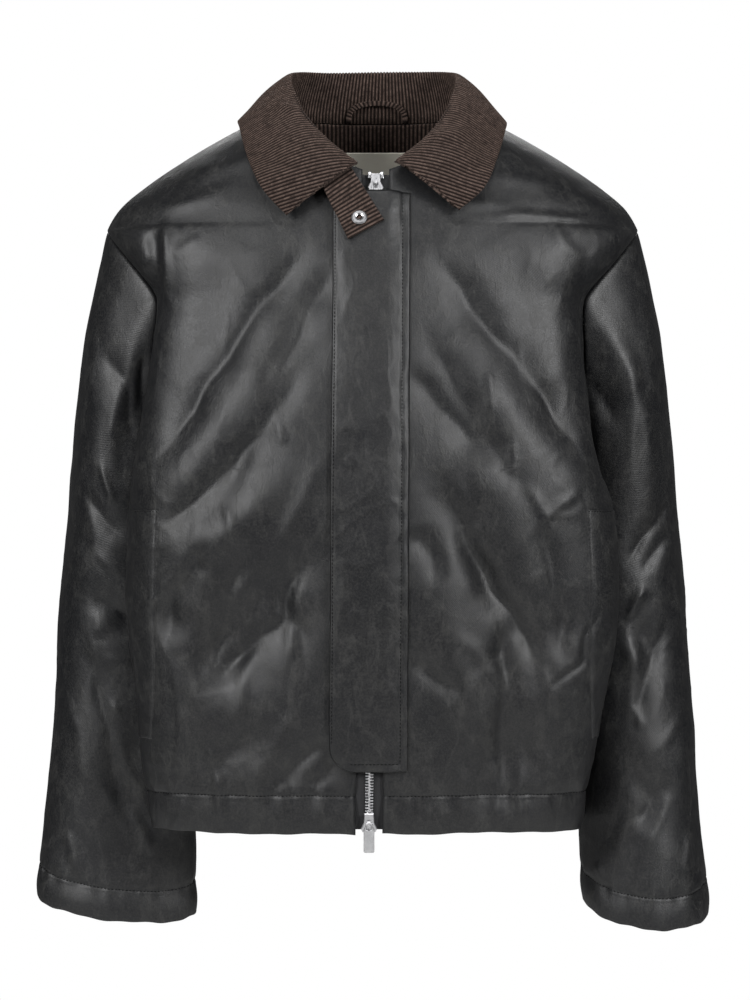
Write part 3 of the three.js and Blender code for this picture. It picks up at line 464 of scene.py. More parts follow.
def lay(name, points, out, thick, finish, wale=None):
    """A woven piece: a grid as its cut moved to its points, with a wall behind its face.
    Its own map, cut, holds each point's place in the flat piece, in metres."""
    cols, rows = points.shape[:2]
    across = np.linalg.norm(np.diff(points, axis=0), axis=2).mean(1)
    along = np.linalg.norm(np.diff(points, axis=1), axis=2).mean(0)
    across = np.concatenate([[0], across.cumsum()]) * MM
    along = np.concatenate([[0], along.cumsum()]) * MM
    made = bmesh.new()
    bmesh.ops.create_grid(made, x_segments=cols - 1, y_segments=rows - 1, size=0.5)
    flat = np.array([v.co[:] for v in made.verts])
    i = np.rint((flat[:, 0] + 0.5) * (cols - 1)).astype(int)
    j = np.rint((flat[:, 1] + 0.5) * (rows - 1)).astype(int)
    cut = made.verts.layers.float_vector.new("cut")
    for vert, place, u, v in zip(made.verts, (points[i, j] * MM).tolist(), across[i], along[j]):
        vert.co = place
        vert[cut] = (u, v, 0)
    if wale is not None:
        layer = made.verts.layers.float.new("wale")
        for vert, value in zip(made.verts, wale[i, j].tolist()):
            vert[layer] = value
    made.normal_update()
    faced = sum(v.normal.dot(Vector(o)) for v, o in zip(made.verts, out[i, j].tolist()))
    if faced < 0:
        bmesh.ops.reverse_faces(made, faces=made.faces)
    bmesh.ops.remove_doubles(made, verts=made.verts, dist=2e-6)
    piece = ended(name, made, finish)
    wall = piece.modifiers.new("wall", "SOLIDIFY")
    wall.thickness = thick * MM
    wall.offset = -1
    return piece


def fit(piece, slot, *nodes):
    """Sets a piece on the jacket's body, in the place of its solids."""
    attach(piece, "jacket")
    if nodes:
        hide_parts(*nodes)
    return piece


def sewn(name, skin, thick, slot, finish, wale=None, node=None):
    """A woven piece in the place of its solid. Its skin is its points and the way that each faces."""
    return fit(lay(name + "_cloth", *skin, thick, finish, wale), slot, node or name)


class Value:
    """A socket that changes over a surface. Sums and products of values add Math nodes."""

    def __init__(self, finish, socket):
        self.finish, self.socket = finish, socket

    def math(self, operation, *values):
        return self.finish.node("ShaderNodeMath", {"operation": operation}, dict(enumerate(values)))

    def __add__(self, other):
        return self.math("ADD", self, other)

    def __sub__(self, other):
        return self.math("SUBTRACT", self, other)

    def __rsub__(self, other):
        return self.math("SUBTRACT", other, self)

    def __mul__(self, other):
        return self.math("MULTIPLY", self, other)

    def __pow__(self, other):
        return self.math("POWER", self, other)

    def __abs__(self):
        return self.math("ABSOLUTE", self)

    def held(self, low=0.0, high=1.0):
        return self.math("MINIMUM", self.math("MAXIMUM", self, low), high)

    __radd__, __rmul__ = __add__, __mul__


class Finish:
    """A finish built from nodes on one shader."""

    def __init__(self, name, **fixed):
        self.material = bpy.data.materials.new(name)
        self.material.use_nodes = True
        self.tree = self.material.node_tree
        self.shader = self.tree.nodes["Principled BSDF"]
        for socket, value in fixed.items():
            self.shader.inputs[socket.replace("_", " ")].default_value = value

    def node(self, kind, settings=None, values=None, out=0):
        made = self.tree.nodes.new(kind)
        for name, setting in (settings or {}).items():
            setattr(made, name, setting)
        for key, value in (values or {}).items():
            if isinstance(value, Value):
                self.tree.links.new(value.socket, made.inputs[key])
            else:
                made.inputs[key].default_value = value
        return Value(self, made.outputs[out])

    def place(self):
        return self.node("ShaderNodeTexCoord", out="Object")

    def own(self, name, out="Vector"):
        return self.node("ShaderNodeAttribute", {"attribute_name": name}, out=out)

    def stretched(self, vector, scale):
        return self.node("ShaderNodeMapping", None, {"Vector": vector, "Scale": scale})

    def noise(self, vector, scale, detail=2.0, rough=0.5, twist=0.0):
        values = {"Vector": vector, "Scale": scale, "Detail": detail, "Roughness": rough, "Distortion": twist}
        return self.node("ShaderNodeTexNoise", None, values)

    def wave(self, vector, way, scale, twist=0.0):
        values = {"Vector": vector, "Scale": scale, "Distortion": twist}
        return self.node("ShaderNodeTexWave", {"bands_direction": way}, values)

    def colours(self, share, first, second):
        return self.node("ShaderNodeMix", {"data_type": "RGBA"}, {0: share, 6: first, 7: second}, out=2)

    def bump(self, height, deep, under=None):
        values = {"Height": height, "Distance": deep}
        if under is not None:
            values["Normal"] = under
        return self.node("ShaderNodeBump", None, values)

    def feed(self, **links):
        for name, value in links.items():
            self.tree.links.new(value.socket, self.shader.inputs[name.replace("_", " ")])
        return self.material


def waxed_cotton():
    """Tightly woven cotton filled with wax: near black, cloudy, a little paler where it was bent."""
    wax = Finish("waxed_cotton", Specular_IOR_Level=0.4)
    place = wax.place()
    cloud = wax.noise(place, 9, 3, 0.6, 0.4)
    mottle = wax.noise(place, 75, 5, 0.65, 0.3)
    grain = wax.noise(place, 620, 2, 0.6)
    bent = wax.noise(wax.stretched(place, (1, 1, 0.45)), 30, 5, 0.6, 0.3)
    rubbed = (1 - abs(bent - 0.5) * 22).held() * (mottle * 2 - 0.6).held()
    dust = (mottle * 1.6 - 0.5).held() * 0.5 + (cloud - 0.3).held() * 0.7
    flecks = (dust + (grain - 0.5) * 2.2).held()
    base = wax.colours(flecks, (0.0028, 0.0031, 0.0042, 1), (0.0165, 0.0163, 0.0156, 1))
    paler = wax.colours((rubbed * 0.2).held(), base, (0.070, 0.069, 0.064, 1))
    threads = wax.wave(wax.own("cut"), "DIAGONAL", 420)
    ground = wax.bump(threads * 0.35 + grain * 0.9, 0.00012)
    crackle = wax.bump(rubbed * 0.3 + mottle * 0.4, 0.0005, ground)
    dull = 0.29 + mottle * 0.14 + grain * 0.20 + rubbed * 0.06
    return wax.feed(Base_Color=paler, Roughness=dull.held(), Normal=crackle)


WAXED = waxed_cotton()
FRONT_COLS = np.linspace(0, 1, 98)
LEVELS = np.concatenate(
    [
        np.linspace(0, 0.13, 34),
        np.linspace(0.13, 1, 96)[1:],
        np.linspace(1, 2, 80)[1:],
        np.linspace(2, 3, 44)[1:],
    ]
)


def lay_front(name, side):
    s, level = np.meshgrid(FRONT_COLS, LEVELS, indexing="ij")
    return sewn(name, body_skin(FRONT, side, s, level), CLOTH, "waxed_cotton", WAXED)


front_right = lay_front("front_right", -1)
front_left = lay_front("front_left", 1)

# The back: one piece of the same cotton, sewn to both fronts at the shoulders and sides,
# with soft drag lines from the shoulders to the underarms and slack folds over the seat.
BACK_FOLDS = [
    (-70, -150, -176, -330, 22, -5),
    (64, -160, 172, -350, 22, -5),
    (-40, -330, -150, -520, 24, 4),
    (50, -350, 140, -540, 24, 4),
    (-10, -420, 20, -600, 26, -4),
]
BACK_TUCKS = [
    (6.0, 26, (-46, -140), (-96, -214), (-134, -282), (-170, -352)),
    (6.0, -26, (40, -148), (92, -226), (130, -300), (164, -372)),
    (5.5, 22, (-34, -360), (-78, -432), (-120, -486), (-156, -526)),
    (5.5, -22, (46, -378), (86, -446), (124, -500), (160, -544)),
    (3.5, -16, (-8, -290), (6, -372), (-6, -460)),
    (3.0, 12, (-56, -534), (-84, -590), (-98, -626)),
    (3.0, -12, (66, -540), (88, -592), (100, -626)),
]
BACK_CREASES = [
    (-30, -90, -150, -250, 9, 2, 8),
    (34, -96, 146, -262, 9, 2, -8),
    (-92, -180, -172, -300, 7, 2.2, -5),
    (88, -176, 170, -310, 7, 2.2, 5),
    (-120, -240, -168, -400, 8, 2, 6),
    (118, -250, 166, -410, 8, 1.8, -6),
    (-20, -250, -90, -420, 9, 1.9, 7),
    (24, -270, 96, -430, 9, 1.7, -8),
    (-60, -420, -20, -560, 8, 1.7, -7),
    (60, -440, 30, -580, 8, 1.6, 6),
    (-130, -440, -150, -600, 7, 1.8, 5),
    (128, -450, 152, -606, 7, 1.8, -5),
    (-100, -520, -70, -620, 6, 1.4, 4),
    (96, -520, 76, -622, 6, 1.4, -4),
    (-120, -60, 30, -52, 9, 1.4, 5),
    (-20, -110, 110, -84, 8, 1.3, -4),
]
BACK_COLS = np.linspace(-1, 1, 157)
across_s, level = np.meshgrid(BACK_COLS, LEVELS, indexing="ij")
skin = body_skin(BACK, np.where(across_s < 0, -1, 1), np.abs(across_s), level)
back = sewn("back", skin, CLOTH, "waxed_cotton", WAXED)

# The sleeves: one tube each, seamed under the arm and set into the armholes, hanging beside the
# body with soft buckles at the elbows, and ending in turned and stitched cuffs.
SLEEVE = table(
    "z outer innerR innerL midY depthR depthL",
    [
        (-107, 246, 180, 182, 8, 56, 56),
        (-135, 254, 180, 182, 11, 66, 66),
        (-172, 262, 180, 182, 15, 72, 72),
        (-209, 269, 180, 182, 19, 74, 74),
        (-265, 276, 180, 182, 23, 73, 73),
        (-330, 282.5, 181, 183, 26, 69, 69),
        (-395, 288, 176, 182, 26, 64, 64),
        (-431, 291, 174.5, 182, 26, 61, 61),
        (-488, 295, 173, 184, 25, 58, 60),
        (-544, 298, 172, 187, 22, 54, 58),
        (-600, 301.5, 170, 190, 19, 47, 56),
        (-656, 307, 167, 192, 16, 40, 53),
        (-711, 312, 165, 195, 13, 35, 51),
        (-752, 314, 164, 197, 11, 32, 50),
    ],
)
# The rim of each cuff: middle height, how far its outer side lifts and its front sags.
CUFFS = {-1: (-733, 8, 14), 1: (-733, -5, 20)}
CUFF_BAND = 29
# Folds and creases from one angle and height to another: 0 outer, 90 front, 180 inner.
SLEEVE_FOLDS = {
    -1: [
        (95, -190, 118, -212, 12, -5),
        (80, -290, 95, -345, 15, -4),
        (84, -462, 112, -480, 13, -5),
        (100, -520, 106, -680, 16, -3),
        (30, -400, 70, -430, 16, 2.5),
        (200, -430, 330, -470, 18, -4.5),
    ],
    1: [
        (85, -225, 95, -275, 14, -5),
        (66, -215, 62, -330, 9, 3),
        (84, -470, 68, -510, 14, -5),
        (95, -485, 88, -515, 9, 3),
        (96, -606, 82, -638, 12, -4),
        (30, -560, 50, -620, 16, 2.5),
        (200, -455, 330, -420, 18, -4.5),
    ],
}
SLEEVE_TUCKS = {
    -1: [
        (3.0, 12, (42, -214), (81, -257), (91, -282), (110, -322)),
        (2.4, 10, (46, -342), (78, -381), (100, -396)),
        (3.4, 12, (58, -442), (92, -462), (124, -472)),
        (3.4, 20, (52, -480), (82, -570), (96, -680)),
        (3.4, 14, (210, -400), (260, -436), (310, -450)),
        (3.0, -14, (230, -520), (270, -560), (300, -620)),
        (2.6, 12, (280, -230), (300, -300), (296, -350)),
    ],
    1: [
        (3.2, -12, (68, -196), (105, -239), (88, -300)),
        (3.6, 13, (18, -346), (69, -389), (100, -424)),
        (2.4, 9, (12, -358), (32, -380), (84, -430)),
        (2.8, -20, (40, -450), (78, -520), (100, -580)),
        (3.6, -14, (56, -608), (84, -640), (100, -664)),
        (3.4, -14, (214, -420), (262, -452), (314, -440)),
        (3.0, 14, (236, -540), (270, -580), (306, -640)),
        (2.6, -12, (284, -240), (300, -310), (294, -360)),
    ],
}
SLEEVE_LINES = {
    -1: [
        (2.2, 4, (77, -203), (100, -224), (104, -252)),
        (-4.0, 7, (83, -219), (106, -286)),
        (2.2, 4, (69, -322), (80, -350), (87, -364)),
        (-1.8, 3, (66, -484), (80, -487)),
        (1.4, 3, (86, -545), (90, -556)),
        (1.8, 5, (100, -640), (120, -690)),
        (2.0, 5, (48, -660), (66, -712)),
    ],
    1: [
        (3.0, 5, (74, -435), (95, -469)),
        (1.6, 3, (26, -150), (26, -174)),
        (1.6, 3, (28, -217), (28, -259)),
        (1.6, 4, (113, -168), (80, -165)),
        (1.8, 4, (92, -546), (87, -568)),
        (2.0, 4, (142, -692), (131, -714)),
        (1.8, 5, (40, -660), (54, -706)),
    ],
}
SLEEVE_CREASES = {
    -1: [
        (20, -150, 60, -290, 7, 2.2, 4),
        (64, -190, 84, -360, 6, 2.4, -4),
        (100, -230, 118, -380, 6, 2.2, 4),
        (30, -300, 70, -420, 7, 2.0, -6),
        (60, -400, 120, -440, 5, 2.2, 3),
        (50, -490, 128, -520, 5, 1.5, 4),
        (84, -440, 60, -560, 6, 2.0, 6),
        (30, -520, 70, -640, 6, 1.8, -5),
        (90, -560, 120, -660, 5, 1.6, 4),
        (60, -600, 110, -690, 5, 1.6, -4),
        (220, -260, 300, -420, 7, 2.0, 6),
        (210, -400, 320, -440, 6, 2.0, -4),
        (230, -480, 330, -520, 6, 1.8, 4),
        (240, -560, 280, -680, 6, 1.7, -5),
        (300, -180, 330, -330, 8, 1.8, 4),
    ],
    1: [
        (20, -150, 56, -300, 7, 2.2, -4),
        (60, -180, 90, -350, 6, 2.4, 4),
        (96, -240, 120, -370, 6, 2.2, -4),
        (24, -320, 66, -440, 7, 2.0, 6),
        (60, -440, 130, -450, 5, 1.6, 4),
        (80, -480, 100, -580, 6, 1.9, -5),
        (30, -540, 90, -600, 6, 1.8, 5),
        (60, -620, 110, -700, 5, 1.6, 4),
        (220, -270, 310, -430, 7, 2.0, -6),
        (210, -430, 330, -410, 6, 2.0, 4),
        (220, -510, 320, -480, 6, 1.8, -4),
        (250, -580, 290, -680, 6, 1.7, 5),
        (300, -190, 330, -320, 8, 1.8, -4),
    ],
}
TURN_MM = math.radians(60)


def sleeve_bare(side, angle, v):
    """A sleeve's bare surface: angle round it, v from the armhole to the cuff."""
    turn = np.radians(angle)
    around = np.mod(angle, 360)
    face = np.where(around <= 180, FRONT, BACK)
    start_level = 2 - np.where(around <= 180, around, 360 - around) / 180
    start = panel(face, side, np.ones_like(start_level), start_level)
    middle, lift, sag = CUFFS[side]
    end = middle + lift * np.cos(turn) - sag * np.sin(turn)

    def ring(z):
        outer = column(SLEEVE, "outer", z)
        inner = column(SLEEVE, "innerR" if side < 0 else "innerL", z)
        deep = column(SLEEVE, "depthR" if side < 0 else "depthL", z)
        x = (outer + inner) / 2 + (outer - inner) / 2 * np.cos(turn)
        return stack(side * x, column(SLEEVE, "midY", z) - deep * np.sin(turn), z)

    z = mix(start[..., 2], end, v)
    away = start - ring(start[..., 2])
    return ring(z) + away * (np.maximum(1 - v / 0.25, 0) ** 2)[..., None]


def sleeve_skin(side, angle, v, lift=0.0):
    """Points of a dressed sleeve and the way that each faces."""
    point = sleeve_bare(side, angle, v)
    across = sleeve_bare(side, angle + 1.5, v) - sleeve_bare(side, angle - 1.5, v)
    above, below = np.minimum(v + 0.006, 1), np.maximum(v - 0.006, 0)
    up = sleeve_bare(side, angle, above) - sleeve_bare(side, angle, below)
    out = unit(np.cross(across, up)) * side
    z = point[..., 2]
    rim = sleeve_bare(side, angle, np.ones_like(v))[..., 2]
    shift = 2 * small_swell(point)
    folds = small = 0 * z
    # A fold that runs past the outer edge goes on at the other end of the angles.
    for lap in (-360, 0, 360):
        there = angle + lap
        folds = folds + ridges(SLEEVE_FOLDS[side], there, z, TURN_MM)
        small = small + 0.6 * creases(SLEEVE_CREASES[side], there + shift, z, TURN_MM)
        small = small + 1.5 * tucks(SLEEVE_TUCKS[side], there + shift, z, TURN_MM)
        small = small + lines(SLEEVE_LINES[side], there, z, TURN_MM)
    elbow = np.exp(-(((z + 470) / 130) ** 2))
    loose = soft(v / 0.05) * soft((z - rim) / 60)
    swells = broad_swell(point) + 0.35 * small_swell(point) + (0.3 + 0.5 * elbow) * net(point, 0.6 + elbow)
    high = soft(v / 0.12) * folds + loose * (small + swells)
    seam = np.exp(-((v * 640 / 2.6) ** 2)) + 0.9 * np.exp(-(((angle - 180) * TURN_MM / 2.2) ** 2))
    high = high + band(z - rim, CUFF_BAND, angle * TURN_MM) - 1.0 * seam + lift
    turn = np.radians(angle)
    wave = 0.7 * np.sin(7 * turn + 1) + 0.35 * np.sin(17 * turn + side)
    placed = point + out * high[..., None]
    placed[..., 2] += wave * np.exp(-(z - rim) / 16)
    return placed, out


SLEEVE_ROWS = np.concatenate([np.linspace(0, 0.94, 170), np.linspace(0.94, 1, 36)[1:]])


def lay_sleeve(name, side):
    angle, v = np.meshgrid(np.linspace(0, 360, 145), SLEEVE_ROWS, indexing="ij")
    return sewn(name, sleeve_skin(side, angle, v), CLOTH, "waxed_cotton", WAXED)


sleeve_right = lay_sleeve("sleeve_right", -1)
sleeve_left = lay_sleeve("sleeve_left", 1)

# The welts of the side pockets: a folded strip of the same cotton on each front, top-stitched
# across its upper end and running back into the side.
WELT_TOP, WELT_BOTTOM, WELT_INNER_TOP, WELT_INNER_BOTTOM = -366, -575, 190, 199


def rolled(rim, radius):
    """The height of a folded edge, 0 at its rim to 1 past its radius."""
    return np.sqrt(1 - (1 - np.clip(rim / radius, 0, 1)) ** 2)


def lay_welt(name, side):
    level, t = np.meshgrid(
        (np.linspace(WELT_BOTTOM, WELT_TOP, 90) - HEM_Z) / (UNDERARM_Z - HEM_Z),
        np.linspace(0, 1, 22),
        indexing="ij",
    )
    z = level_z(FRONT, level, 0)
    down = (WELT_TOP - z) / (WELT_TOP - WELT_BOTTOM)
    inner = mix(WELT_INNER_TOP, WELT_INNER_BOTTOM, down) + 1.2 * np.sin(z / 37)
    first = first_along(FRONT, side, z)
    s = mix((along_at(FRONT, side, inner, z) - first) / (SIDE - first), 0.86, t)
    rim = np.minimum(np.minimum(t * 34, (1 - t) * 34), np.minimum(z - WELT_BOTTOM, WELT_TOP - z))
    skin = body_skin(FRONT, side, s, level, 1.1 * rolled(rim, 1.8) - 0.1)
    return sewn(name, skin, 0.9, "waxed_cotton", WAXED)


pocket_welt_right = lay_welt("pocket_welt_right", -1)
pocket_welt_left = lay_welt("pocket_welt_left", 1)


# The zip: nickel teeth on two black tapes, sewn behind the opening, with one slider at the foot
# of the chain and one at the top under the flap, each with its pull, and two top stops.
def front_relief(x, z):
    """Outward direction and height of the front's cloth at a place of the front view."""
    side = np.where(x < 0, -1, 1)

    def at(px, pz):
        ps = np.where(px < 0, -1, 1)
        return section(FRONT, ps, along_at(FRONT, ps, np.abs(px), pz), pz)

    out = unit(np.cross(at(x + 3, z) - at(x - 3, z), at(x, z + 3) - at(x, z - 3)))
    point = at(x, z)
    first = first_along(FRONT, side, z)
    s = np.clip((along_at(FRONT, side, np.abs(x), z) - first) / (edge_along(z) - first), 0, 1)
    high = np.where(side < 0, relief(FRONT, -1, s, point), relief(FRONT, 1, s, point))
    return point, out, high * soft(s / 0.06)


def on_front(x, z, lift):
    """A point of the front at a place of the front view, moved out by lift."""
    x, z = np.broadcast_arrays(np.asarray(x, float), np.asarray(z, float))
    point, out, high = front_relief(x, z)
    return point + out * (high + lift)[..., None], out


CHAIN_LIFT, CHAIN_WIDTH, CHAIN_THICK = -2.2, 7.2, 2.4


def zip_tape():
    tape = Finish("zip_tape", Specular_IOR_Level=0.3, Sheen_Weight=0.1, Sheen_Roughness=0.6)
    ribs = tape.wave(tape.own("cut"), "Y", 330, 0.6)
    fuzz = tape.noise(tape.place(), 900, 2)
    base = tape.colours(ribs * 0.6 + fuzz * 0.4, (0.0045, 0.0045, 0.005, 1), (0.016, 0.016, 0.018, 1))
    ground = tape.bump(ribs + fuzz * 0.5, 0.0002)
    return tape.feed(Base_Color=base, Roughness=0.7 + fuzz * 0.25, Normal=ground)


TAPE = zip_tape()


def nickel():
    metal = Finish("nickel", Metallic=1.0)
    place = metal.place()
    scuffs = metal.noise(metal.stretched(place, (1, 1, 0.15)), 1400, 3)
    smear = metal.noise(place, 160, 3)
    base = metal.colours(smear, (0.40, 0.40, 0.42, 1), (0.66, 0.66, 0.67, 1))
    ground = metal.bump(scuffs, 0.00002)
    return metal.feed(Base_Color=base, Roughness=0.18 + smear * 0.18 + scuffs * 0.08, Normal=ground)


NICKEL = nickel()


def lay_tape(name, side):
    t, z = np.meshgrid(np.linspace(0, 1, 12), np.linspace(HEM_Z + 4, ZIP_TOP[1], 200), indexing="ij")
    x = zip_x(z) + side * mix(CHAIN_WIDTH / 2 - 1.6, OPENING_HALF + 5, t)
    cord = 0.5 * np.exp(-(((t - 0.12) / 0.1) ** 2))
    return sewn(name, on_front(x, z, CHAIN_LIFT - 0.2 + cord), 0.8, "zip_tape", TAPE)


tape_right = lay_tape("zip_tape_right", -1)
tape_left = lay_tape("zip_tape_left", 1)


def turned_to(point, out, up=(0, 0, 1)):
    """A frame at a point, +Z out and +Y up the front."""
    z = Vector(out).normalized()
    y = (Vector(up) - z * Vector(up).dot(z)).normalized()
    turn = Matrix((y.cross(z), y, z)).transposed().to_4x4()
    return Matrix.Translation(Vector(point) * MM) @ turn


def shaped(name, made, slot, finish, bevel=0.0, *nodes):
    """Ends a bmesh as a piece on the jacket's body, with rounded edges where it has a bevel."""
    piece = ended(name, made, finish)
    if bevel:
        edge = piece.modifiers.new("edges", "BEVEL")
        edge.width, edge.segments, edge.limit_method = bevel * MM, 2, "ANGLE"
    return fit(piece, slot, *nodes)


def block(made, here, place, size):
    """Adds a block at a place of a frame, in millimetres."""
    moved = Matrix.Translation([c * MM for c in place])
    grown = Matrix.Diagonal([*(c * MM for c in size), 1])
    bmesh.ops.create_cube(made, size=1, matrix=here @ moved @ grown)


def plated(*nodes):
    """Gives solids of the frame their nickel."""
    for node in nodes:
        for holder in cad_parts[node].material_slots:
            holder.material = NICKEL


# The teeth: each a small block that clamps the tape's cord, with a rounded head that meshes
# between the two opposite.
TOOTH_PITCH = 2.65
teeth = bmesh.new()
steps = int((ZIP_TOP[1] - ZIP_BOTTOM[1]) / TOOTH_PITCH)
for k in range(2 * steps):
    side = 1 if k % 2 else -1
    z = ZIP_BOTTOM[1] + (k + 1) * TOOTH_PITCH / 2
    spot, facing = on_front(zip_x(z), z, CHAIN_LIFT + CHAIN_THICK / 2)
    here = turned_to(spot, facing)
    block(teeth, here, (side * 2.0, 0, 0), (3.2, 1.25, 2.3))
    block(teeth, here, (side * 0.1, 0, 0.1), (1.9, 1.7, 1.9))
shaped("zip_teeth", teeth, "nickel", NICKEL, 0.3, "zip_chain")

stops = bmesh.new()
for side in (-1, 1):
    spot, facing = on_front(zip_x(ZIP_TOP[1]) + side * 5.4, ZIP_TOP[1] - 1.5, CHAIN_LIFT + 2.1)
    block(stops, turned_to(spot, facing), (0, 0, 0), (3.4, 6.5, 2.0))
shaped("zip_top_stops", stops, "nickel", NICKEL, 0.5)
plated("zip_slider_upper", "zip_slider_lower", "zip_pull_upper", "zip_pull_lower")

# The storm flap: a doubled strip of the waxed cotton over the zip, sewn down along the wearer's
# left edge, its free edge edge-stitched, its corner rounded, with hidden snaps that just show.
FLAP_TOP, FLAP_BOTTOM, FLAP_CORNER, FLAP_THICK = -82.6, -600, 22, 2.2
FLAP_SEAM, FLAP_EDGE = 7, 2.2


def flap_down(z):
    return (FLAP_TOP - z) / (FLAP_TOP - FLAP_BOTTOM)


def flap_left(z):
    into = np.clip((FLAP_BOTTOM + FLAP_CORNER - z) / FLAP_CORNER, 0, 1)
    return mix(-35, -38.6, flap_down(z)) + FLAP_CORNER * (1 - np.sqrt(1 - into**2))


def flap_right(z):
    return mix(34.2, 31.5, flap_down(z))


SNAPS = ((-18, -324), (-14, -460))


def flap_lift(x, z):
    from_seam = np.clip((flap_right(z) - x) / 22, 0, 1)
    over_zip = 2.6 + 3.7 * soft(np.maximum(1.15 - (FLAP_TOP - z) / 60, 0))
    return 0.35 + over_zip * soft(from_seam)


def flap_face(x, z):
    """How high the flap's outer side stands over the front."""
    right, left, foot = flap_right(z) - x, x - flap_left(z), z - FLAP_BOTTOM
    rim = np.minimum(np.minimum(right, left), np.minimum(foot, FLAP_TOP - z))
    turned = rolled(rim, 1.5) - 1
    stitched = 0.95 * np.exp(-(((right - FLAP_SEAM) / 1.2) ** 2))
    stitched = stitched + 0.6 * np.exp(-(((left - FLAP_EDGE) / 0.8) ** 2))
    stitched = stitched + 0.45 * np.exp(-(((foot - FLAP_SEAM) / 0.9) ** 2)) * (right > 6)
    high = turned - stitched + 0.25 * np.sin(z / 3.1) * np.exp(-np.abs(right - FLAP_SEAM) / 4)
    for sx, sz in SNAPS:
        high = high + 0.55 * soft((8.5 - np.hypot(x - sx, z - sz)) / 4)
    slack = soft(left / 12) * soft(right / 12)
    place = stack(x, 0 * x, z)
    uneven = 0.35 * small_swell(place) + 0.9 * net(place) + 0.5 * broad_swell(place)
    return flap_lift(x, z) + FLAP_THICK + high + slack * uneven


corner_rows = FLAP_BOTTOM + FLAP_CORNER * (1 - np.cos(np.linspace(0, math.pi / 2, 16)))
flap_rows = np.concatenate([corner_rows, np.linspace(FLAP_BOTTOM + FLAP_CORNER, FLAP_TOP, 230)[1:]])
t, z = np.meshgrid(np.linspace(0, 1, 56), flap_rows, indexing="ij")
x = mix(flap_left(z), flap_right(z), t)
skin = on_front(x, z, flap_face(x, z))
storm_flap = sewn("storm_flap", skin, FLAP_THICK - 0.2, "waxed_cotton", WAXED)

# The collar: brown corduroy on both sides, cut so that its ribs run across its height, with a
# stand sewn into the neck and a fall that rolls over it and lies on the shoulders.
CORD_CLOTH = 2.6
WALE = 4.0
COLLAR = [
    # face, side, place on the neckline, top of the roll, edge of the fall, the way it faces
    (-1, -1, 0.06, (-13, -114, -56), (-77, -122, -103), -22),
    (-1, -1, 0.2, (-40, -98, -33), (-98, -114, -80), -35),
    (-1, -1, 0.42, (-60, -70, -9), (-112, -88, -52), -55),
    (-1, -1, 0.7, (-72, -38, 17), (-122, -46, -18), -76),
    (-1, -1, 1, (-76, -4, 36), (-124, 3, -6), -98),
    (1, -1, 0.66, (-68, 36, 44), (-110, 60, -9), -126),
    (1, -1, 0.33, (-40, 66, 47), (-66, 103, -20), -152),
    (1, 1, 0, (2, 76, 49), (2, 119, -26), -180),
    (1, 1, 0.33, (42, 66, 48), (68, 103, -20), -208),
    (1, 1, 0.66, (70, 36, 44), (111, 60, -9), -234),
    (-1, 1, 1, (78, -4, 36), (124, 3, -6), -262),
    (-1, 1, 0.7, (75, -38, 17), (122, -46, -19), -284),
    (-1, 1, 0.42, (64, -70, -9), (112, -88, -52), -305),
    (-1, 1, 0.2, (46, -95, -32), (100, -112, -78), -325),
    (-1, 1, 0.09, (21, -110, -53), (78, -121, -98), -338),
]
COLLAR_SEAM = np.array([panel(f, s, np.float64(p), np.float64(3.0)) for f, s, p, *_ in COLLAR])
COLLAR_ROLL = np.array([row[3] for row in COLLAR], float)
COLLAR_EDGE = np.array([row[4] for row in COLLAR], float)
COLLAR_TURN = np.array([row[5] for row in COLLAR], float)


def through(stations, u):
    """A smooth curve through the collar's stations."""
    last = len(stations) - 1
    place = np.clip(u, 0, 1) * last
    i = np.clip(np.floor(place).astype(int), 0, last - 1)
    a, b, c, d = (stations[np.clip(i + k, 0, last)] for k in (-1, 0, 1, 2))
    t = place - i
    if stations.ndim > 1:
        t = t[..., None]
    curve = 2 * a - 5 * b + 4 * c - d + (3 * b - a - 3 * c + d) * t
    return b + 0.5 * t * (c - a + t * curve)


def bezier(a, b, c, d, t):
    t = t[..., None]
    return a * (1 - t) ** 3 + 3 * b * t * (1 - t) ** 2 + 3 * c * t * t * (1 - t) + d * t**3


def collar_bare(u, w):
    """The collar's visible side: w 0 to 1 up the stand, 1 to 2 down the fall."""
    seam, roll, edge = through(COLLAR_SEAM, u), through(COLLAR_ROLL, u), through(COLLAR_EDGE, u)
    turn = np.radians(through(COLLAR_TURN, u))
    out = stack(np.sin(turn), -np.cos(turn), 0 * turn)
    up = np.array([0, 0, 1.0])
    start = seam - out * (CORD_CLOTH + 0.2) + up * 0.5
    rise = np.linalg.norm(roll - start, axis=-1)[..., None]
    low, high = start + up * rise * 0.45, roll - out * np.minimum(5, rise * 0.4)
    stand = bezier(start, low, high, roll, np.clip(w, 0, 1))
    fall = np.linalg.norm(edge - roll, axis=-1)[..., None]
    back = edge + unit(roll - edge) * fall * 0.35 + out * 3 + up * 2
    over = bezier(roll, roll + out * np.minimum(14, fall * 0.2), back, edge, np.clip(w - 1, 0, 1))
    return np.where((w <= 1)[..., None], stand, over)


def ribbed(phase):
    """The height of a rib across it: round on top, with a narrow groove."""
    return 1 - np.abs(2 * (phase - np.floor(phase)) - 1) ** 2.6


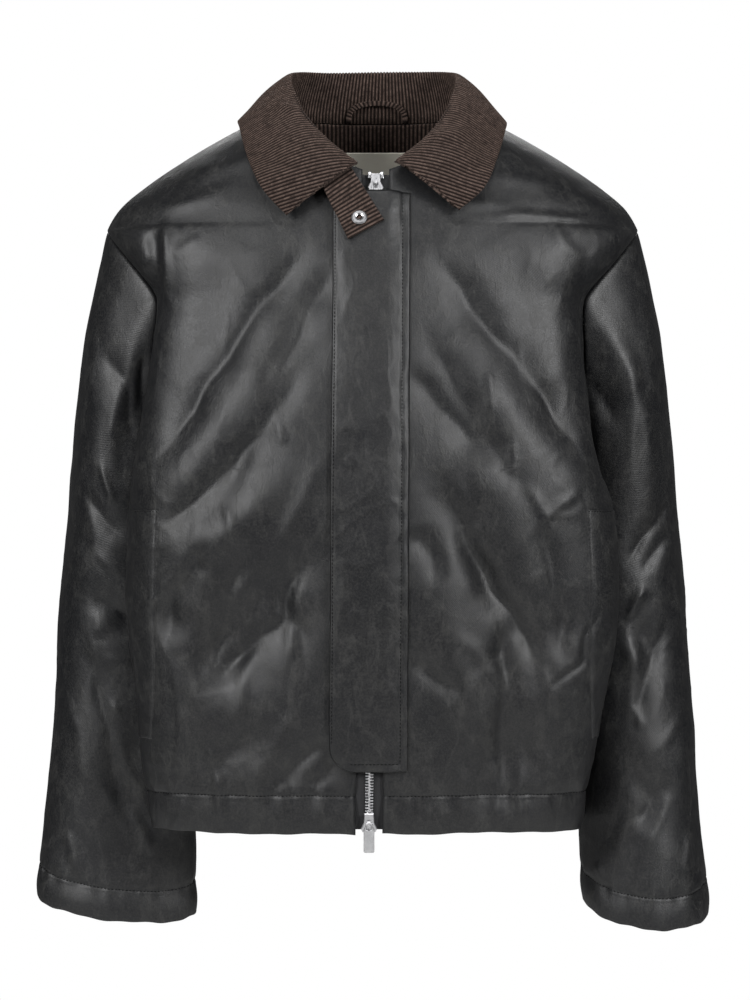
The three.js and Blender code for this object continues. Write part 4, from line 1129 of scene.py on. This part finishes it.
def corduroy():
    """Cotton corduroy: brushed ribs, their tops paler with wear and a painted sheen, and painted shade
    darkening the grooves between them.
    """
    cord = Finish("corduroy", Specular_IOR_Level=0.12, Sheen_Weight=0.12, Sheen_Roughness=0.4)
    cord.shader.inputs["Sheen Tint"].default_value = (0.75, 0.60, 0.52, 1)
    place = cord.place()
    wale = cord.own("wale", out="Fac")
    groove = abs(wale.math("FRACT", wale) * 2 - 1)
    pile = cord.noise(place, 1100, 3, 0.7)
    patch = cord.noise(place, 55, 4, 0.6, 0.5)
    worn = cord.noise(place, 210, 3, 0.6)
    tone = cord.colours((patch * 1.5 - 0.3).held(), (0.012, 0.0078, 0.0064, 1), (0.022, 0.0145, 0.0118, 1))
    crown = (1 - groove) ** 1.3
    # Rib tops paler: partly wear where the pile is rubbed, partly a painted sheen on the crests.
    rubbed = cord.colours((crown * (pile * worn * 4.5 - 0.5)).held(), tone, (0.115, 0.080, 0.066, 1))
    # Painted shade: the grooves between the ribs are darkened to near black.
    deep = cord.colours((groove ** 2.2 * 1.2).held(), rubbed, (0.0045, 0.0028, 0.0024, 1))
    height = cord.bump(crown * 0.5 + pile * 0.8, 0.0005)
    return cord.feed(Base_Color=deep, Roughness=(0.82 + pile * 0.16).held(), Normal=height)


CORDUROY = corduroy()
SKEW = 45.0
u_fine = np.linspace(0, 1, 1500)
mid_line = (through(COLLAR_ROLL, u_fine) + through(COLLAR_EDGE, u_fine)) / 2
mid_long = np.concatenate([[0], np.linalg.norm(np.diff(mid_line, axis=0), axis=1).cumsum()])
COLLAR_LONG = mid_long[-1]
ribs = int((COLLAR_LONG + 2 * SKEW) / WALE)
rib_place = np.linspace(-SKEW, COLLAR_LONG + SKEW, ribs * 6 + 1)
COLLAR_ROWS = np.concatenate(
    [np.linspace(0, 0.8, 7), np.linspace(0.88, 1.12, 8), np.linspace(1.2, 1.96, 14), [1.985, 2.0]]
)
COLLAR_CREASES = [
    (-90, 4, -62, -6, 6, 2.6, 0),
    (96, -24, 46, -31, 6, 2.4, 0),
    (-104, -40, -70, -62, 8, -1.2, 3),
    (104, -52, 70, -70, 8, -1.2, -3),
]
p, w = np.meshgrid(rib_place, COLLAR_ROWS, indexing="ij")
fallen = np.maximum(w - 1, 0)
slant = SKEW * (1 - soft(p / 150)) - SKEW * (1 - soft((COLLAR_LONG - p) / 150))
length_at = np.clip(p + slant * fallen, 0, COLLAR_LONG)
u = np.interp(length_at, mid_long, u_fine)


def collar_skin(u, w, lift):
    point = collar_bare(u, w)
    across = collar_bare(np.minimum(u + 0.006, 1), w) - collar_bare(np.maximum(u - 0.006, 0), w)
    up = collar_bare(u, np.minimum(w + 0.02, 2)) - collar_bare(u, np.maximum(w - 0.02, 0))
    out = unit(np.cross(across, up))
    return point + out * lift[..., None], out


phase = (p + SKEW) / (COLLAR_LONG + 2 * SKEW) * ribs
rim = np.minimum((2 - w) * 75, np.minimum(length_at, COLLAR_LONG - length_at) * 0.9)
turned = 0.9 * (rolled(rim, 1.4) - 1)
base = collar_bare(u, w)
pinch = creases(COLLAR_CREASES, base[..., 0], base[..., 2]) * (w > 1.05)
lift = 1.15 * ribbed(phase) - 0.7 + turned + pinch + 0.7 * small_swell(base) * soft(fallen / 0.3)
collar = sewn("collar", collar_skin(u, w, lift), CORD_CLOTH - 0.4, "corduroy", CORDUROY, phase)

# Inside the neck: a corduroy facing on the back, a plain woven label sewn to it and a corduroy
# hanger loop caught in the collar seam.
FACING_DEPTH = 52
FACING_RIBS = 40
BACKWARDS = np.array([0, 1.0, 0])
s, t = np.meshgrid(np.linspace(-1, 1, FACING_RIBS * 6 + 1), np.linspace(0, 1, 24), indexing="ij")
z = mix(-1, -FACING_DEPTH * (1 - 0.45 * s * s), t)
side = np.where(s < 0, -1, 1)
along = along_at(BACK, side, np.abs(s) * 78, z)
bare = section(BACK, side, along, z)
phase = (s + 1) / 2 * FACING_RIBS
points = bare - BACKWARDS * (CLOTH + 1.6 + 0.5 * ribbed(phase))[..., None]
skin = (points, 0 * bare - BACKWARDS)
neck_facing = sewn("neck_facing", skin, 1.0, "corduroy", CORDUROY, phase, "back_neck_facing")


def woven_cotton():
    cotton = Finish("label_cotton", Specular_IOR_Level=0.3, Sheen_Weight=0.1, Sheen_Roughness=0.6)
    weave = cotton.own("cut")
    threads = cotton.wave(weave, "X", 520) * cotton.wave(weave, "Y", 520)
    cloud = cotton.noise(cotton.place(), 90, 3)
    base = cotton.colours(threads * 0.5 + cloud * 0.5, (0.86, 0.81, 0.68, 1), (0.97, 0.94, 0.84, 1))
    return cotton.feed(Base_Color=base, Roughness=0.75 + cloud * 0.2, Normal=cotton.bump(threads, 0.0002))


LABEL_COTTON = woven_cotton()
LABEL = {"x": 4, "width": 58, "top": -26, "bottom": -50, "off": 6.6}
t, v = np.meshgrid(np.linspace(0, 1, 60), np.linspace(0, 1, 26), indexing="ij")
x = LABEL["x"] + (t - 0.5) * LABEL["width"]
z = mix(LABEL["bottom"], LABEL["top"], v)
side = np.where(x < 0, -1, 1)
bare = section(BACK, side, along_at(BACK, side, np.abs(x), z), z)
held = np.minimum(t, 1 - t) * LABEL["width"]
bow = 0.5 * soft(held / 8) * (1 + np.sin(x / 7) * 0.3)
skin = (bare - BACKWARDS * (LABEL["off"] + bow)[..., None], 0 * bare - BACKWARDS)
label = sewn("label", skin, 0.6, "label_cotton", LABEL_COTTON)

LOOP = {"half": 29.5, "rise": 21, "band": 5, "thick": 1.8, "footZ": 1.2, "off": 5.1, "lean": 2.5}
LOOP_RIBS = 20
turn, v = np.meshgrid(np.linspace(0, 180, LOOP_RIBS * 6 + 1), np.linspace(0, 1, 9), indexing="ij")
across, up = np.cos(np.radians(turn)), np.sin(np.radians(turn))
x = LABEL["x"] + (LOOP["half"] - LOOP["band"] * v) * across
z = LOOP["footZ"] + (LOOP["rise"] - LOOP["band"] * v) * np.maximum(up, 0) ** 0.6
seam_y = section(BACK, 1, along_at(BACK, 1, np.abs(x), 0 * x), 0 * x)[..., 1]
phase = turn / 180 * LOOP_RIBS
crown = 0.4 * np.sqrt(np.maximum(1 - (2 * v - 1) ** 2, 0)) + 0.25 * ribbed(phase)
y = seam_y - LOOP["off"] - LOOP["lean"] * up - LOOP["thick"] + 0.4 - crown
points = stack(x, y, z)
hanger_loop = sewn("hanger_loop", (points, 0 * points - BACKWARDS), 1.5, "corduroy", CORDUROY, phase)

# The throat tab: a doubled corduroy tongue from under the collar, closed over to the flap, with
# ribs across it, stitched edges and a ring snap through its free end.
TAB_ROOT = ((-44.5, -80), (-19.5, -62))
TAB_END = ((-21.5, -128.5), (10.5, -111))
TAB_LIFT = 9.2
TAB_LONG, TAB_WIDE = 54.0, 34.0
TAB_RIBS = 16
t, v = np.meshgrid(np.linspace(0, 1, 30), np.linspace(0, 1, TAB_RIBS * 6 + 1), indexing="ij")
x = mix(mix(TAB_ROOT[0][0], TAB_ROOT[1][0], t), mix(TAB_END[0][0], TAB_END[1][0], t), v)
z = mix(mix(TAB_ROOT[0][1], TAB_ROOT[1][1], t), mix(TAB_END[0][1], TAB_END[1][1], t), v)
phase = v * TAB_RIBS
rim = np.minimum(np.minimum(t, 1 - t) * TAB_WIDE, (1 - v) * TAB_LONG)
turned = rolled(rim, 1.4) - 1
groove = 0.5 * np.exp(-(((rim - 2.4) / 0.7) ** 2))
skin = on_front(x, z, TAB_LIFT + CORD_CLOTH - 0.3 + 0.55 * ribbed(phase) + turned - groove)
throat_tab = sewn("throat_tab", skin, CORD_CLOTH - 0.4, "corduroy", CORDUROY, phase)

plated("snap_ring")

# Sewing: black thread in short stitches along the hem, the cuffs, the flap and the pockets.
# Each stitch is a small bead of thread, set along its seam on the finished cloth.
STITCH, STITCH_GAP, THREAD_HALF = 2.7, 0.7, 0.42


def thread():
    yarn = Finish("thread", Specular_IOR_Level=0.1)
    twist = yarn.noise(yarn.place(), 2400, 2)
    base = yarn.colours(twist, (0.0015, 0.0015, 0.0018, 1), (0.007, 0.007, 0.0075, 1))
    return yarn.feed(Base_Color=base, Roughness=0.55 + twist * 0.3, Normal=yarn.bump(twist, 0.0001))


THREAD = thread()


def sew(name, line, out):
    """A row of stitches along a line of points that lie on the cloth."""
    long = np.concatenate([[0], np.linalg.norm(np.diff(line, axis=0), axis=1).cumsum()])

    def at(rows, far):
        return np.array([np.interp(far, long, rows[:, c]) for c in range(3)])

    made = bmesh.new()
    size = Matrix.Diagonal((THREAD_HALF * MM, STITCH / 2 * MM, THREAD_HALF * 0.7 * MM, 1))
    for k in range(int(long[-1] / (STITCH + STITCH_GAP))):
        far = k * (STITCH + STITCH_GAP)
        start, end = at(line, far), at(line, far + STITCH)
        here = turned_to((start + end) / 2, at(out, far), Vector(end - start))
        bmesh.ops.create_icosphere(made, subdivisions=1, radius=1, matrix=here @ size)
    shaped(name, made, "waxed_cotton", THREAD)


def sew_hem(name, face, side):
    s = np.linspace(0.01, 0.99, 260)
    level = np.full_like(s, HEM_BAND / (UNDERARM_Z - HEM_Z))
    sew(name, *body_skin(face, side, s, level, 0.15))


def sew_flap(name, x, z):
    sew(name, *on_front(x, z, flap_face(x, z) + 0.25))


for face, word in ((FRONT, "front"), (BACK, "back")):
    for side, hand in ((-1, "right"), (1, "left")):
        sew_hem(f"hem_stitches_{word}_{hand}", face, side)

for side, hand in ((-1, "right"), (1, "left")):
    angle = np.linspace(0, 360, 300)
    rim_z = sleeve_bare(side, angle, np.ones_like(angle))[..., 2]
    start_z = sleeve_bare(side, angle, np.zeros_like(angle))[..., 2]
    sew(f"cuff_stitches_{hand}", *sleeve_skin(side, angle, 1 - CUFF_BAND / (start_z - rim_z), 0.15))
    z = np.full(30, WELT_TOP - 2.5)
    inner = np.linspace(WELT_INNER_TOP + 1.5, WELT_INNER_TOP + 24, 30)
    first = first_along(FRONT, side, z)
    s = (along_at(FRONT, side, np.minimum(inner, crest_x(FRONT, side, z) - 0.3), z) - first) / (SIDE - first)
    level = (z - HEM_Z) / (UNDERARM_Z - HEM_Z)
    sew(f"pocket_stitches_{hand}", *body_skin(FRONT, side, s, level, 1.15))

z = np.linspace(FLAP_TOP - 4, FLAP_BOTTOM + FLAP_SEAM, 300)
sew_flap("flap_stitches_right", flap_right(z) - FLAP_SEAM, z)
z = np.linspace(FLAP_TOP - 4, FLAP_BOTTOM + FLAP_CORNER, 300)
sew_flap("flap_stitches_left", flap_left(z) + FLAP_EDGE, z)
x = np.linspace(-20, 24, 60)
sew_flap("flap_stitches_foot", x, 0 * x + FLAP_BOTTOM + FLAP_SEAM)

# A pale studio floor under the jacket, lit by soft lamps over the front, low before it, to both
# sides and behind, with a faint grey sky that only the camera sees as white.
FLOOR_Z, FLOOR_RADIUS, SKY_GLOW = -1.0, 1.15, 0.09
floor_mesh = bmesh.new()
down = Matrix.Translation((0, 0, FLOOR_Z))
bmesh.ops.create_circle(floor_mesh, cap_ends=True, segments=96, radius=FLOOR_RADIUS, matrix=down)
pale = Finish("floor", Roughness=0.9)
pale.feed(Base_Color=pale.colours(pale.noise(pale.place(), 3), (0.80, 0.80, 0.79, 1), (0.84, 0.84, 0.83, 1)))
ended("floor", floor_mesh, pale.material)


def lamp(name, place, aim, wide, high, power):
    data = bpy.data.lights.new(name, "AREA")
    data.shape, data.size, data.size_y, data.energy = "RECTANGLE", wide, high, power
    made = put(name, data)
    made.location = place
    made.rotation_euler = (Vector(aim) - Vector(place)).to_track_quat("-Z", "Y").to_euler()


lamp("over_front", (0, -1.2, 2.2), (0, 0, -0.2), 1.2, 0.5, 20)
lamp("low_front", (0, -2.5, 0.8), (0, 0, -0.5), 1.2, 0.22, 6)
lamp("side_right", (-1.6, -1.8, 0.5), (0, 0, -0.45), 0.45, 1.2, 56)
lamp("side_left", (1.6, -1.8, 0.5), (0, 0, -0.45), 0.45, 1.2, 56)
lamp("behind", (0, 2.6, 1.6), (0, 0, -0.3), 2.0, 1.0, 40)

world = bpy.data.worlds.new("sky")
world.use_nodes = True
bpy.context.scene.world = world
sky = world.node_tree
ground = sky.nodes["Background"]
ground.inputs["Color"].default_value = (1, 1, 1, 1)
ground.inputs["Strength"].default_value = SKY_GLOW
white = sky.nodes.new("ShaderNodeBackground")
white.inputs["Strength"].default_value = 1.0
white.inputs["Color"].default_value = (1, 1, 1, 1)
seen = sky.nodes.new("ShaderNodeLightPath")
either = sky.nodes.new("ShaderNodeMixShader")
sky.links.new(seen.outputs["Is Camera Ray"], either.inputs[0])
sky.links.new(ground.outputs[0], either.inputs[1])
sky.links.new(white.outputs[0], either.inputs[2])
sky.links.new(either.outputs[0], sky.nodes["World Output"].inputs["Surface"])
bpy.context.scene.view_settings.view_transform = "Standard"
